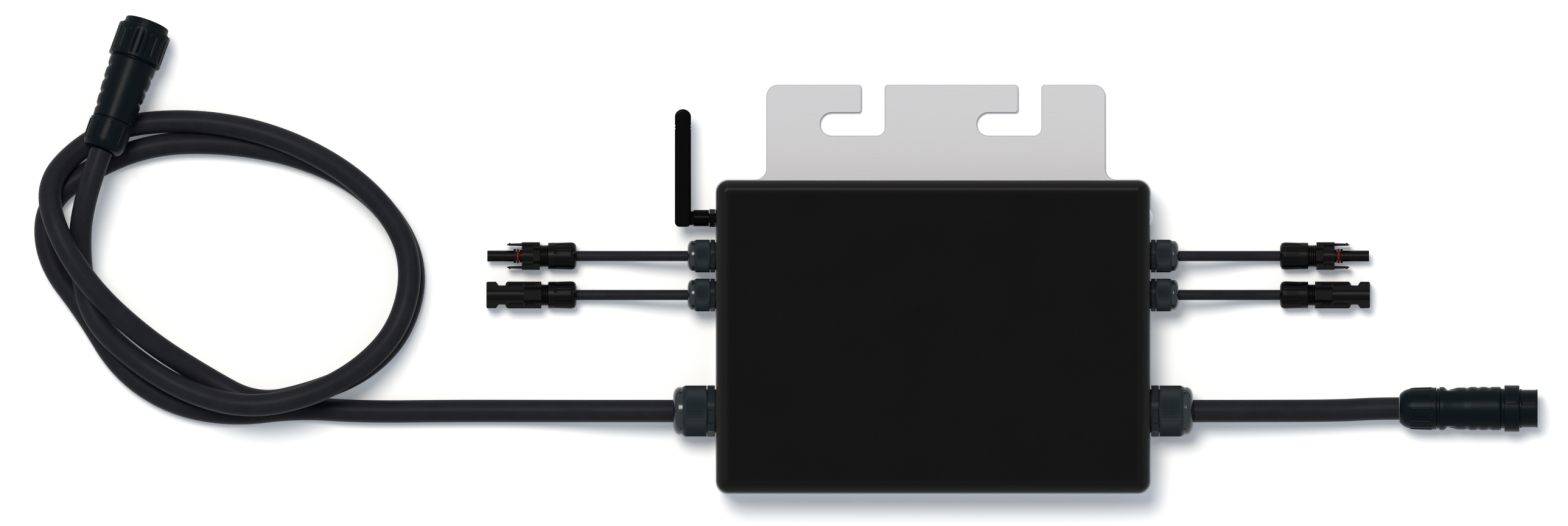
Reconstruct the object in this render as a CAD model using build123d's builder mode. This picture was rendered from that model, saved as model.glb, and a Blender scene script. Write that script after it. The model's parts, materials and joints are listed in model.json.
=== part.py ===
"""Micro inverter for solar modules, hung by its plate, with its leads and their connectors.

Millimetres. The back of the mounting plate is z = 0 and +Z points out of the cover. +Y points
to the hanging hooks and +X to the side with the indicator lamp. The origin is the middle of
the plate's back, measured over the plate, cover, glands and antenna.
"""

import os
from math import radians, tan

from build123d import *

os.makedirs("parts", exist_ok=True)

# ---- driving dimensions ------------------------------------------------------------------------

CASE_Y = -30.6
CASE_WIDTH = 280.0
CASE_HEIGHT = 202.0
CASE_DEPTH = 45.0
CASE_CORNER = 8.0
FRONT_EDGE = 6.5
RIM_WALL = 4.0
FRONT_WALL = 3.0

PLATE_THICKNESS = 3.0
PLATE_LIP = 0.5
PLATE_BREAK = 0.4
TAB_WIDTH = 219.0
TAB_X = 1.8
TAB_TOP = 132.1
TAB_CORNER = 7.3
HOOK_CHANNELS = (-38.75, 62.5)
HOOK_WIDTH = 15.0
HOOK_DEPTH = 32.8
HOOK_SLOT = 14.8
HOOK_REACH = 34.25

GASKET_WIDTH = 2.0
GASKET_HEIGHT = 1.6
SCREW_PITCH_X = 84.0
SCREW_PITCH_Y = 181.0
BOSS_RADIUS = 4.5
BOSS_TOP = 38.0
SCREW_RADIUS = 2.0
SCREW_LENGTH = 16.0
SCREW_HEAD = 4.0

AXIS_Z = 21.5
AC_Y = -78.6
PV_UPPER_Y = 21.5
PV_LOWER_Y = -3.66
ANTENNA_Y = 46.0
LAMP_Y = 46.5
LEFT = -1
RIGHT = 1
HEX_TILT = 14.5

AC_CABLE = 14.6
PV_CABLE = 6.7

BOARD_WIDTH = 236.0
BOARD_HEIGHT = 150.0
BOARD_BOTTOM = 12.0
BOARD_TOP = 13.6

WALL = CASE_WIDTH / 2
INNER_WALL = WALL - RIM_WALL
FIT = 0.05


# ---- helpers -----------------------------------------------------------------------------------


def wall_frame(side, y, z=AXIS_Z):
    """Frame on a side wall: its Z axis points out of the case and its X axis along +Y."""
    return Plane(origin=(side * WALL, y, z), x_dir=(0, 1, 0), z_dir=(side, 0, 0))


def axial(frame):
    """Plane through a frame's axis: local x is the station along the axis, local y the radius."""
    return Plane(origin=frame.origin, x_dir=frame.z_dir, z_dir=frame.z_dir.cross(frame.x_dir))


def axis_of(frame):
    """The frame's own Z axis."""
    return Axis(frame.origin, frame.z_dir)


def ring(frame, start, stop, inner, outer, mode=Mode.ADD):
    """Ring, or disc when inner is 0, between two stations along the frame's axis."""
    with BuildSketch(frame.offset(start)) as section:
        Circle(outer)
        if inner > 0:
            Circle(inner, mode=Mode.SUBTRACT)
    extrude(section.sketch, amount=stop - start, mode=mode)


def turned(frame, *outline, mode=Mode.ADD):
    """Closed outline of (station, radius) corners turned about the frame's axis."""
    with BuildSketch(axial(frame)) as half_section:
        with BuildLine():
            Polyline(*outline, close=True)
        make_face()
    revolve(half_section.sketch, axis=axis_of(frame), mode=mode)


def hexagon(frame, start, stop, across_flats, bore, tilt=0.0):
    """Hexagonal ring between two stations, turned by tilt degrees about the frame's axis."""
    with BuildSketch(frame.offset(start)) as section:
        RegularPolygon(across_flats / 2, 6, major_radius=False, rotation=tilt)
        if bore > 0:
            Circle(bore, mode=Mode.SUBTRACT)
    extrude(section.sketch, amount=stop - start)


def block(x, y, bottom, width, height, top, rounding=0.0):
    """Upright block of a width along X and a height along Y, rounded on its four long edges."""
    with BuildSketch(Plane.XY.offset(bottom)) as section:
        with Locations((x, y)):
            if rounding > 0:
                RectangleRounded(width, height, rounding)
            else:
                Rectangle(width, height)
    extrude(section.sketch, amount=top - bottom)


def bend_radii(route):
    """Arc at each corner: 0.45 of its shorter run, over the tangent of half the turn."""
    points = [Vector(*point) for point in route]
    radii = []
    for before, corner, after in zip(points, points[1:], points[2:]):
        run_in = corner - before
        run_out = after - corner
        half_turn = radians(run_in.get_angle(run_out)) / 2
        radii.append(0.45 * min(run_in.length, run_out.length) / tan(half_turn))
    return radii


def tube(route, diameter):
    """Round cable along straight runs joined by tangent arcs; returns its length."""
    with BuildLine() as path:
        FilletPolyline(*route, radius=bend_radii(route))
    wire = path.wires()[0]
    with BuildSketch(Plane(origin=wire @ 0, z_dir=wire % 0)) as section:
        Circle(diameter / 2)
    sweep(section.sketch, path=wire)
    return wire.length


def save(piece, name):
    """Label one finished sub-part and write it."""
    piece.part.label = name
    export_step(piece.part, f"parts/{name}.step")


def save_cord(piece, name, route, diameter, length):
    """Write a free cord, with its length, its bends and how full its volume is."""
    save(piece, name)
    filled = piece.part.volume / (length * 3.14159265 * diameter**2 / 4)
    bends = " ".join(f"{radius:.0f}" for radius in bend_radii(route))
    print(f"{name}: {length:.0f} mm long, volume {filled:.4f} of its section, bends {bends}")


# ---- plate and cover ---------------------------------------------------------------------------

PLATE_TOP = CASE_Y + CASE_HEIGHT / 2 + PLATE_LIP
SLOT_FLOOR = TAB_TOP - HOOK_DEPTH
SLOT_Y = SLOT_FLOOR + HOOK_SLOT / 2


def nearest_corner(sketch, x, y):
    """The sketch's corner nearest to a point."""
    return sketch.vertices().sort_by_distance((x, y, 0))[0]


with BuildPart() as back_plate:
    with BuildSketch() as outline:
        with Locations((0, CASE_Y)):
            RectangleRounded(CASE_WIDTH + 2 * PLATE_LIP, CASE_HEIGHT + 2 * PLATE_LIP, CASE_CORNER)
        tab_height = TAB_TOP - CASE_Y
        with Locations((TAB_X, CASE_Y + tab_height / 2)):
            Rectangle(TAB_WIDTH, tab_height)
        for edge in (LEFT, RIGHT):
            tab_edge = TAB_X + edge * TAB_WIDTH / 2
            fillet(nearest_corner(outline, tab_edge, TAB_TOP), TAB_CORNER)
            fillet(nearest_corner(outline, tab_edge, PLATE_TOP), TAB_CORNER)
        for channel in HOOK_CHANNELS:
            right_edge = channel + HOOK_WIDTH / 2
            left_edge = channel - HOOK_WIDTH / 2
            with Locations((channel, TAB_TOP - HOOK_DEPTH / 2)):
                Rectangle(HOOK_WIDTH, HOOK_DEPTH, mode=Mode.SUBTRACT)
            with Locations((right_edge - HOOK_REACH / 2, SLOT_Y)):
                Rectangle(HOOK_REACH, HOOK_SLOT, mode=Mode.SUBTRACT)
            with Locations((right_edge - HOOK_REACH, SLOT_Y)):
                Circle(HOOK_SLOT / 2, mode=Mode.SUBTRACT)
            fillet(nearest_corner(outline, right_edge, SLOT_FLOOR), 5.0)
            fillet(nearest_corner(outline, left_edge, SLOT_FLOOR + HOOK_SLOT), 2.0)
            fillet(nearest_corner(outline, left_edge, TAB_TOP), 2.0)
            fillet(nearest_corner(outline, right_edge, TAB_TOP), 2.0)
    extrude(amount=PLATE_THICKNESS)
    chamfer(back_plate.faces().sort_by(Axis.Z)[-1].edges(), PLATE_BREAK)
    with Locations(Plane(origin=(0, CASE_Y, 0), x_dir=(1, 0, 0), z_dir=(0, 0, -1))):
        with GridLocations(SCREW_PITCH_X, SCREW_PITCH_Y, 4, 2):
            CounterSinkHole(SCREW_RADIUS + 0.25, SCREW_HEAD + 0.2, PLATE_THICKNESS, 90)
save(back_plate, "back_plate")

LARGE_HOLE = 12.65
SMALL_HOLE = 8.15
JACK_HOLE = 3.3
LAMP_HOLE = 4.15

with BuildPart() as cover:
    with BuildSketch(Plane.XY.offset(PLATE_THICKNESS)):
        with Locations((0, CASE_Y)):
            RectangleRounded(CASE_WIDTH, CASE_HEIGHT, CASE_CORNER)
    extrude(amount=CASE_DEPTH - PLATE_THICKNESS)
    fillet(cover.faces().sort_by(Axis.Z)[-1].edges(), FRONT_EDGE)
    with BuildSketch(Plane.XY.offset(PLATE_THICKNESS)):
        with Locations((0, CASE_Y)):
            RectangleRounded(2 * INNER_WALL, CASE_HEIGHT - 2 * RIM_WALL, CASE_CORNER - RIM_WALL)
    extrude(amount=CASE_DEPTH - FRONT_WALL - PLATE_THICKNESS, mode=Mode.SUBTRACT)
    with BuildSketch(Plane.XY.offset(PLATE_THICKNESS)):
        with Locations((0, CASE_Y)):
            with GridLocations(SCREW_PITCH_X, SCREW_PITCH_Y, 4, 2):
                Circle(BOSS_RADIUS)
    extrude(amount=CASE_DEPTH - FRONT_WALL - PLATE_THICKNESS)
    with BuildSketch(Plane.XY.offset(PLATE_THICKNESS)):
        with Locations((0, CASE_Y)):
            with GridLocations(SCREW_PITCH_X, SCREW_PITCH_Y, 4, 2):
                Circle(SCREW_RADIUS + FIT)
    extrude(amount=SCREW_LENGTH, mode=Mode.SUBTRACT)
    with BuildSketch(Plane.XY.offset(PLATE_THICKNESS)):
        with Locations((0, CASE_Y)):
            inset = (RIM_WALL - GASKET_WIDTH) / 2
            RectangleRounded(CASE_WIDTH - 2 * inset, CASE_HEIGHT - 2 * inset, CASE_CORNER - inset)
            inset = (RIM_WALL + GASKET_WIDTH) / 2
            RectangleRounded(
                CASE_WIDTH - 2 * inset,
                CASE_HEIGHT - 2 * inset,
                CASE_CORNER - inset,
                mode=Mode.SUBTRACT,
            )
    extrude(amount=GASKET_HEIGHT, mode=Mode.SUBTRACT)
    for side in (LEFT, RIGHT):
        ring(wall_frame(side, AC_Y), -RIM_WALL - 1, 1, 0, LARGE_HOLE, Mode.SUBTRACT)
        ring(wall_frame(side, PV_UPPER_Y), -RIM_WALL - 1, 1, 0, SMALL_HOLE, Mode.SUBTRACT)
        ring(wall_frame(side, PV_LOWER_Y), -RIM_WALL - 1, 1, 0, SMALL_HOLE, Mode.SUBTRACT)
    ring(wall_frame(LEFT, ANTENNA_Y), -RIM_WALL - 1, 1, 0, JACK_HOLE, Mode.SUBTRACT)
    ring(wall_frame(RIGHT, LAMP_Y), -RIM_WALL - 1, 1, 0, LAMP_HOLE, Mode.SUBTRACT)
save(cover, "cover")

with BuildPart() as cover_gasket:
    with BuildSketch(Plane.XY.offset(PLATE_THICKNESS)):
        with Locations((0, CASE_Y)):
            inset = (RIM_WALL - GASKET_WIDTH) / 2
            RectangleRounded(CASE_WIDTH - 2 * inset, CASE_HEIGHT - 2 * inset, CASE_CORNER - inset)
            inset = (RIM_WALL + GASKET_WIDTH) / 2
            RectangleRounded(
                CASE_WIDTH - 2 * inset,
                CASE_HEIGHT - 2 * inset,
                CASE_CORNER - inset,
                mode=Mode.SUBTRACT,
            )
    extrude(amount=GASKET_HEIGHT)
save(cover_gasket, "cover_gasket")

with BuildPart() as cover_screws:
    for place in GridLocations(SCREW_PITCH_X, SCREW_PITCH_Y, 4, 2):
        x = place.position.X
        y = place.position.Y + CASE_Y
        head = Plane(origin=(x, y, 0), x_dir=(1, 0, 0), z_dir=(0, 0, 1))
        turned(
            head,
            (0.1, 0),
            (0.1, SCREW_HEAD - 0.1),
            (SCREW_HEAD - SCREW_RADIUS, SCREW_RADIUS),
            (SCREW_LENGTH, SCREW_RADIUS),
            (SCREW_LENGTH, 0),
        )
save(cover_screws, "cover_screws")

# ---- electronics inside ------------------------------------------------------------------------

STANDOFF_PITCH_X = 110.0
STANDOFF_PITCH_Y = 134.0
STANDOFF_PLACES = GridLocations(STANDOFF_PITCH_X, STANDOFF_PITCH_Y, 3, 2)
BOARD_SCREW = 1.5

with BuildPart() as main_board:
    block(0, CASE_Y, BOARD_BOTTOM, BOARD_WIDTH, BOARD_HEIGHT, BOARD_TOP, 3.0)
    with BuildSketch(Plane.XY.offset(BOARD_BOTTOM)):
        with Locations((0, CASE_Y)):
            with GridLocations(STANDOFF_PITCH_X, STANDOFF_PITCH_Y, 3, 2):
                Circle(BOARD_SCREW + 0.1)
    extrude(amount=BOARD_TOP - BOARD_BOTTOM, mode=Mode.SUBTRACT)
save(main_board, "main_board")

with BuildPart() as board_standoffs:
    for place in STANDOFF_PLACES:
        foot = Plane(origin=(place.position.X, place.position.Y + CASE_Y, PLATE_THICKNESS))
        hexagon(foot, 0, BOARD_BOTTOM - PLATE_THICKNESS, 7.0, BOARD_SCREW + FIT)
save(board_standoffs, "board_standoffs")

with BuildPart() as board_screws:
    for place in STANDOFF_PLACES:
        seat = Plane(origin=(place.position.X, place.position.Y + CASE_Y, BOARD_TOP))
        ring(seat, -7.0, 0, 0, BOARD_SCREW)
        ring(seat, 0, 2.0, 0, 2.75)
save(board_screws, "board_screws")

TRANSFORMER_X = (-22.0, 34.0)
TRANSFORMER_Y = -34.0
CORE_WIDTH = 36.0
CORE_DEPTH = 30.0
CORE_LEG = 4.0
CORE_YOKE = 5.0
CORE_TOP = 38.0
POST_RADIUS = 6.5
WINDING_RADIUS = 13.0

with BuildPart() as transformer_cores:
    for x in TRANSFORMER_X:
        for leg in (LEFT, RIGHT):
            leg_x = x + leg * (CORE_WIDTH - CORE_LEG) / 2
            block(leg_x, TRANSFORMER_Y, BOARD_TOP, CORE_LEG, CORE_DEPTH, CORE_TOP)
        block(x, TRANSFORMER_Y, BOARD_TOP, CORE_WIDTH, CORE_DEPTH, BOARD_TOP + CORE_YOKE)
        block(x, TRANSFORMER_Y, CORE_TOP - CORE_YOKE, CORE_WIDTH, CORE_DEPTH, CORE_TOP)
        post = Plane(origin=(x, TRANSFORMER_Y, BOARD_TOP))
        ring(post, 0, CORE_TOP - BOARD_TOP, 0, POST_RADIUS)
save(transformer_cores, "transformer_cores")

with BuildPart() as transformer_windings:
    for x in TRANSFORMER_X:
        bobbin = Plane(origin=(x, TRANSFORMER_Y, BOARD_TOP + CORE_YOKE))
        window = CORE_TOP - BOARD_TOP - 2 * CORE_YOKE
        ring(bobbin, 0.4, window - 0.4, POST_RADIUS + 0.4, WINDING_RADIUS)
save(transformer_windings, "transformer_windings")

CAN_RADIUS = 8.0
CAN_HEIGHT = 25.0
CAN_PITCH = 18.0

with BuildPart() as input_capacitors:
    with BuildSketch(Plane.XY.offset(BOARD_TOP)):
        with Locations((-72, 6)):
            with GridLocations(CAN_PITCH, CAN_PITCH, 4, 2):
                Circle(CAN_RADIUS)
    extrude(amount=CAN_HEIGHT)
    chamfer(input_capacitors.faces().sort_by(Axis.Z)[-8:].edges(), 0.8)
save(input_capacitors, "input_capacitors")

with BuildPart() as film_capacitors:
    for row in range(4):
        block(88, 28 - 14 * row, BOARD_TOP, 28, 10, BOARD_TOP + 18, 1.0)
save(film_capacitors, "film_capacitors")

CHOKE = Plane(origin=(-84, -53, BOARD_TOP + 2))
CHOKE_OUTER = 16.0
CHOKE_INNER = 8.0
CHOKE_HEIGHT = 12.0
CHOKE_TURNS = 18

with BuildPart() as choke_core:
    ring(CHOKE, 0, CHOKE_HEIGHT, CHOKE_INNER, CHOKE_OUTER)
save(choke_core, "choke_core")

with BuildPart() as choke_winding:
    for turn in range(CHOKE_TURNS):
        angle = 360 / CHOKE_TURNS * turn
        loop = CHOKE.rotated((0, 0, angle)).offset(CHOKE_HEIGHT / 2)
        middle = (CHOKE_OUTER + CHOKE_INNER) / 2
        with BuildSketch(Plane(origin=loop.origin, x_dir=loop.x_dir, z_dir=loop.y_dir)):
            with Locations((middle, 0)):
                Rectangle(CHOKE_OUTER - CHOKE_INNER + 3.2, CHOKE_HEIGHT + 3.2)
                Rectangle(
                    CHOKE_OUTER - CHOKE_INNER + 0.2,
                    CHOKE_HEIGHT + 0.2,
                    mode=Mode.SUBTRACT,
                )
        extrude(amount=0.75, both=True)
save(choke_winding, "choke_winding")

with BuildPart() as grid_relays:
    for x in (66, 90):
        block(x, -60, BOARD_TOP, 20, 16, BOARD_TOP + 19, 0.8)
save(grid_relays, "grid_relays")

TRANSISTOR_BOTTOM = PLATE_THICKNESS + 1.0

with BuildPart() as thermal_pad:
    block(0, CASE_Y, PLATE_THICKNESS, 190, 40, TRANSISTOR_BOTTOM)
save(thermal_pad, "thermal_pad")

with BuildPart() as power_transistors:
    for column in range(8):
        x = 22.0 * (column - 3.5)
        block(x, CASE_Y, TRANSISTOR_BOTTOM, 10, 15, TRANSISTOR_BOTTOM + 4.5)
        for pin in (-2.5, 0, 2.5):
            block(x + pin, CASE_Y + 4, TRANSISTOR_BOTTOM + 4.5, 0.8, 0.6, BOARD_BOTTOM)
save(power_transistors, "power_transistors")

AC_TERMINAL_X = 32.0
AC_TERMINAL_Y = -92.0
AC_TERMINAL_TOP = BOARD_TOP + 16
AC_POLES = 5
AC_PITCH = 9.0

with BuildPart() as ac_terminal_block:
    width = AC_POLES * AC_PITCH
    block(AC_TERMINAL_X, AC_TERMINAL_Y, BOARD_TOP, width, 13, AC_TERMINAL_TOP, 0.6)
    for pole in range(AC_POLES):
        x = AC_TERMINAL_X + AC_PITCH * (pole - (AC_POLES - 1) / 2)
        screw_well = Plane(origin=(x, AC_TERMINAL_Y, AC_TERMINAL_TOP))
        ring(screw_well, -5, 0, 0, 2.6, Mode.SUBTRACT)
save(ac_terminal_block, "ac_terminal_block")

DC_TERMINAL_X = 112.0

with BuildPart() as dc_terminals:
    for side in (LEFT, RIGHT):
        for y in (PV_UPPER_Y, PV_LOWER_Y):
            block(side * DC_TERMINAL_X, y, BOARD_TOP, 10, 12, BOARD_TOP + 3)
            block(side * (DC_TERMINAL_X - 3), y, BOARD_TOP + 3, 4, 12, AXIS_Z + 5)
save(dc_terminals, "dc_terminals")

LARGE_NOSE = 28.0
SMALL_NOSE = 18.6
CORE_DIAMETER = 3.2
CORE_PITCH = 3.8

with BuildPart() as dc_inner_wires:
    for side in (LEFT, RIGHT):
        for y in (PV_UPPER_Y, PV_LOWER_Y):
            stub = wall_frame(side, y)
            end = DC_TERMINAL_X - 1 - WALL
            ring(stub, end, SMALL_NOSE, 0, PV_CABLE / 2)
save(dc_inner_wires, "dc_inner_wires")

with BuildPart() as ac_inner_wires:
    for side in (LEFT, RIGHT):
        sheath = wall_frame(side, AC_Y)
        ring(sheath, -14, LARGE_NOSE, 0, AC_CABLE / 2)
        for core in (LEFT, 0, RIGHT):
            start_x = side * (WALL - 14)
            start_y = AC_Y + CORE_PITCH * core
            block_y = AC_TERMINAL_Y + CORE_PITCH * core
            block_x = AC_TERMINAL_X + side * AC_POLES * AC_PITCH / 2
            tube(
                (
                    (start_x, start_y, AXIS_Z),
                    (start_x - side * 16, start_y, AXIS_Z),
                    (start_x - side * 40, block_y, AXIS_Z + 2.0),
                    (block_x, block_y, AXIS_Z + 2.0),
                ),
                CORE_DIAMETER,
            )
save(ac_inner_wires, "ac_inner_wires")

RADIO_X = -84.0
RADIO_Y = 34.0
RADIO_TOP = BOARD_TOP + 3.4

with BuildPart() as radio_module:
    block(RADIO_X, RADIO_Y, BOARD_TOP, 26, 18, BOARD_TOP + 1)
    block(RADIO_X + 1.5, RADIO_Y, BOARD_TOP + 1, 20, 15, RADIO_TOP, 0.8)
save(radio_module, "radio_module")

# ---- antenna -----------------------------------------------------------------------------------

JACK = wall_frame(LEFT, ANTENNA_Y)
JACK_THREAD = 3.15
PIGTAIL = 1.8
ELBOW_RADIUS = 5.35
ELBOW_START = 4.7
ELBOW_SHOULDER = 14.8
PIVOT = 21.6
PIVOT_X = -(WALL + PIVOT)
TONGUE = 3.2
TONGUE_REACH = 4.5
BLADE_WIDTH = 10.5
BLADE_THICKNESS = 7.8
BLADE_BOTTOM = 40.3
BLADE_TOP = 116.4
BLADE_CORNER = 3.1
BLADE_DOME = 4.3
BLADE_EDGE = 1.6
BLADE_SLOT = 3.6
BLADE_SLOT_TOP = 52.2
HINGE_PIN = 1.2
TIP_GROOVES = (106.4, 104.4)
GROOVE_DEPTH = 0.4
GROOVE_WIDTH = 0.5
GROOVE_SAG = 1.3

with BuildPart() as antenna_jack:
    ring(JACK, -12, 8.0, 0, JACK_THREAD)
    hexagon(JACK, -7, -RIM_WALL, 8.0, JACK_THREAD)
save(antenna_jack, "antenna_jack")

with BuildPart() as antenna_nut:
    ring(JACK, 0, 0.7, JACK_THREAD + FIT, 5.6)
    hexagon(JACK, 0.8, 4.5, 10.0, JACK_THREAD + FIT)
save(antenna_nut, "antenna_nut")

with BuildPart() as antenna_elbow:
    ring(JACK, ELBOW_START, ELBOW_SHOULDER, 0, ELBOW_RADIUS)
    fillet(antenna_elbow.faces().sort_by(Axis.X)[0].edges(), 0.6)
    ring(JACK, ELBOW_START, 8.6, 0, JACK_THREAD + FIT, Mode.SUBTRACT)
    with BuildSketch(Plane.XY.offset(AXIS_Z - TONGUE / 2)):
        with Locations((PIVOT_X, ANTENNA_Y)):
            Circle(TONGUE_REACH)
        tongue_end = -(WALL + ELBOW_SHOULDER - 1)
        with Locations(((PIVOT_X + tongue_end) / 2, ANTENNA_Y)):
            Rectangle(abs(PIVOT_X - tongue_end), 2 * TONGUE_REACH)
    extrude(amount=TONGUE)
    with BuildSketch(Plane.XY.offset(AXIS_Z - TONGUE)):
        with Locations((PIVOT_X, ANTENNA_Y)):
            Circle(HINGE_PIN + FIT)
    extrude(amount=2 * TONGUE, mode=Mode.SUBTRACT)
save(antenna_elbow, "antenna_elbow")

with BuildPart() as antenna_blade:
    blade_left = PIVOT_X - BLADE_WIDTH / 2
    blade_right = PIVOT_X + BLADE_WIDTH / 2
    with BuildSketch(Plane.XY.offset(AXIS_Z - BLADE_THICKNESS / 2)) as blade_face:
        with BuildLine():
            Line((blade_left, BLADE_TOP - BLADE_DOME), (blade_left, BLADE_BOTTOM))
            Line((blade_left, BLADE_BOTTOM), (blade_right, BLADE_BOTTOM))
            Line((blade_right, BLADE_BOTTOM), (blade_right, BLADE_TOP - BLADE_DOME))
            ThreePointArc(
                (blade_right, BLADE_TOP - BLADE_DOME),
                (PIVOT_X, BLADE_TOP),
                (blade_left, BLADE_TOP - BLADE_DOME),
            )
        make_face()
        fillet(blade_face.vertices().group_by(Axis.Y)[0], BLADE_CORNER)
    extrude(amount=BLADE_THICKNESS)
    fillet(antenna_blade.faces().sort_by(Axis.Z)[-1].edges(), BLADE_EDGE)
    fillet(antenna_blade.faces().sort_by(Axis.Z)[0].edges(), BLADE_EDGE)
    slot_height = BLADE_SLOT_TOP - BLADE_BOTTOM + 1
    with BuildSketch(Plane.XY.offset(AXIS_Z - BLADE_SLOT / 2)):
        with Locations((PIVOT_X, BLADE_SLOT_TOP - slot_height / 2)):
            Rectangle(BLADE_WIDTH + 2, slot_height)
    extrude(amount=BLADE_SLOT, mode=Mode.SUBTRACT)
    with BuildSketch(Plane.XY.offset(AXIS_Z - BLADE_THICKNESS)):
        with Locations((PIVOT_X, ANTENNA_Y)):
            Circle(HINGE_PIN)
    extrude(amount=2 * BLADE_THICKNESS, mode=Mode.SUBTRACT)
    with BuildPart(mode=Mode.PRIVATE) as grooves:
        for groove_y in TIP_GROOVES:
            with BuildSketch(Plane.XY.offset(AXIS_Z - BLADE_THICKNESS)):
                with BuildLine():
                    ThreePointArc(
                        (blade_left - 1, groove_y),
                        (PIVOT_X, groove_y - GROOVE_SAG),
                        (blade_right + 1, groove_y),
                    )
                    Line((blade_right + 1, groove_y), (blade_right + 1, groove_y - GROOVE_WIDTH))
                    ThreePointArc(
                        (blade_right + 1, groove_y - GROOVE_WIDTH),
                        (PIVOT_X, groove_y - GROOVE_SAG - GROOVE_WIDTH),
                        (blade_left - 1, groove_y - GROOVE_WIDTH),
                    )
                    Line((blade_left - 1, groove_y - GROOVE_WIDTH), (blade_left - 1, groove_y))
                make_face()
            extrude(amount=2 * BLADE_THICKNESS)
        core_frame = Plane(origin=(PIVOT_X, 100, AXIS_Z), x_dir=(1, 0, 0), z_dir=(0, 1, 0))
        with BuildSketch(core_frame) as core:
            RectangleRounded(
                BLADE_WIDTH - 2 * GROOVE_DEPTH,
                BLADE_THICKNESS - 2 * GROOVE_DEPTH,
                BLADE_EDGE - GROOVE_DEPTH,
            )
        extrude(amount=10, mode=Mode.SUBTRACT)
    add(grooves.part, mode=Mode.SUBTRACT)
save(antenna_blade, "antenna_blade")

with BuildPart() as antenna_hinge_pin:
    pin_frame = Plane(origin=(PIVOT_X, ANTENNA_Y, AXIS_Z))
    ring(pin_frame, -BLADE_THICKNESS / 2, BLADE_THICKNESS / 2, 0, HINGE_PIN)
save(antenna_hinge_pin, "antenna_hinge_pin")

with BuildPart() as antenna_pigtail:
    jack_end = -(WALL - 12)
    tube(
        (
            (jack_end, ANTENNA_Y, AXIS_Z),
            (jack_end + 12, ANTENNA_Y, AXIS_Z),
            (jack_end + 24, ANTENNA_Y - 4, RADIO_TOP + 2),
            (RADIO_X - 4, RADIO_Y + 4, RADIO_TOP + PIGTAIL / 2),
        ),
        PIGTAIL,
    )
save(antenna_pigtail, "antenna_pigtail")

# ---- indicator lamp ----------------------------------------------------------------------------

LAMP = wall_frame(RIGHT, LAMP_Y)
LENS_RADIUS = 5.1
LENS_HEIGHT = 1.85

with BuildPart() as indicator_lens:
    with BuildSketch(axial(LAMP)):
        with BuildLine():
            Line((0, 0), (0, LENS_RADIUS))
            RadiusArc(
                (0, LENS_RADIUS),
                (LENS_HEIGHT, 0),
                (LENS_RADIUS**2 + LENS_HEIGHT**2) / (2 * LENS_HEIGHT),
            )
            Line((LENS_HEIGHT, 0), (0, 0))
        make_face()
    revolve(axis=axis_of(LAMP))
    ring(LAMP, -7, 0, 2.6, LAMP_HOLE - FIT)
save(indicator_lens, "indicator_lens")

with BuildPart() as indicator_led:
    ring(LAMP, -4.5, -0.6, 0, 2.5)
    ring(LAMP, -7.0, -4.5, 0, 2.4)
save(indicator_led, "indicator_led")

# ---- cable glands ------------------------------------------------------------------------------


def large_gland_frames():
    """Wall frames of the two glands for the grid cable."""
    return [wall_frame(side, AC_Y) for side in (LEFT, RIGHT)]


def small_gland_frames():
    """Wall frames of the four glands for the module leads."""
    return [wall_frame(side, y) for side in (LEFT, RIGHT) for y in (PV_UPPER_Y, PV_LOWER_Y)]


def face_tilt(frame):
    """Turn that points one flat of a gland's hexagon away from the wall's upper edge."""
    return HEX_TILT * frame.z_dir.X


LARGE_THREAD = 12.45
LARGE_CAP = 16.5
SMALL_THREAD = 7.95
SMALL_CAP = 10.6

with BuildPart() as gland_washers:
    for frame in large_gland_frames():
        ring(frame, 0, 0.9, LARGE_THREAD + FIT, 14.0)
    for frame in small_gland_frames():
        ring(frame, 0, 0.8, SMALL_THREAD + FIT, 9.0)
save(gland_washers, "gland_washers")

with BuildPart() as gland_locknuts:
    for frame in large_gland_frames():
        hexagon(frame, -9.2, -RIM_WALL, 30.0, LARGE_THREAD + FIT)
    for frame in small_gland_frames():
        hexagon(frame, -8.1, -RIM_WALL, 20.0, SMALL_THREAD + FIT)
save(gland_locknuts, "gland_locknuts")

with BuildPart() as large_gland_bodies:
    for frame in large_gland_frames():
        hexagon(frame, 0.9, 5.9, 30.5, 0, face_tilt(frame))
        ring(frame, -11, 0.9, 0, LARGE_THREAD)
        ring(frame, 5.9, 18.0, 0, 14.0)
        ring(frame, -11, 10.0, 0, 9.0, Mode.SUBTRACT)
        ring(frame, 10.0, 18.0, 0, 12.0, Mode.SUBTRACT)
save(large_gland_bodies, "large_gland_bodies")

with BuildPart() as small_gland_bodies:
    for frame in small_gland_frames():
        hexagon(frame, 0.8, 3.9, 19.5, 0, face_tilt(frame))
        ring(frame, -10, 0.8, 0, SMALL_THREAD)
        ring(frame, 3.9, 12.0, 0, 8.9)
        ring(frame, -10, 7.0, 0, 5.0, Mode.SUBTRACT)
        ring(frame, 7.0, 12.0, 0, 7.0, Mode.SUBTRACT)
save(small_gland_bodies, "small_gland_bodies")

with BuildPart() as gland_seals:
    for frame in large_gland_frames():
        cable = AC_CABLE / 2
        turned(frame, (10, cable), (10, 11.9), (20, 11.9), (24, 9.5), (24, cable))
    for frame in small_gland_frames():
        cable = PV_CABLE / 2
        turned(frame, (7, cable), (7, 6.9), (13.5, 6.9), (16, 5.2), (16, cable))
save(gland_seals, "gland_seals")


def domed_cap(frame, hollow, skirt, chamfer_end, shoulder, crown, nose, bore):
    """Clamping cap: a straight skirt, a chamfer, a domed end and a hole for the cable.

    hollow is the inside outline from the open end to the nose, and the other corners are
    (station, radius) pairs; crown is a point on the dome.
    """
    start = hollow[0][0]
    with BuildSketch(axial(frame)) as half_section:
        with BuildLine():
            Polyline(*hollow, (nose[0], bore), nose)
            ThreePointArc(nose, crown, shoulder)
            Polyline(shoulder, chamfer_end, skirt, (start, skirt[1]), hollow[0])
        make_face()
    revolve(half_section.sketch, axis=axis_of(frame))


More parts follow.
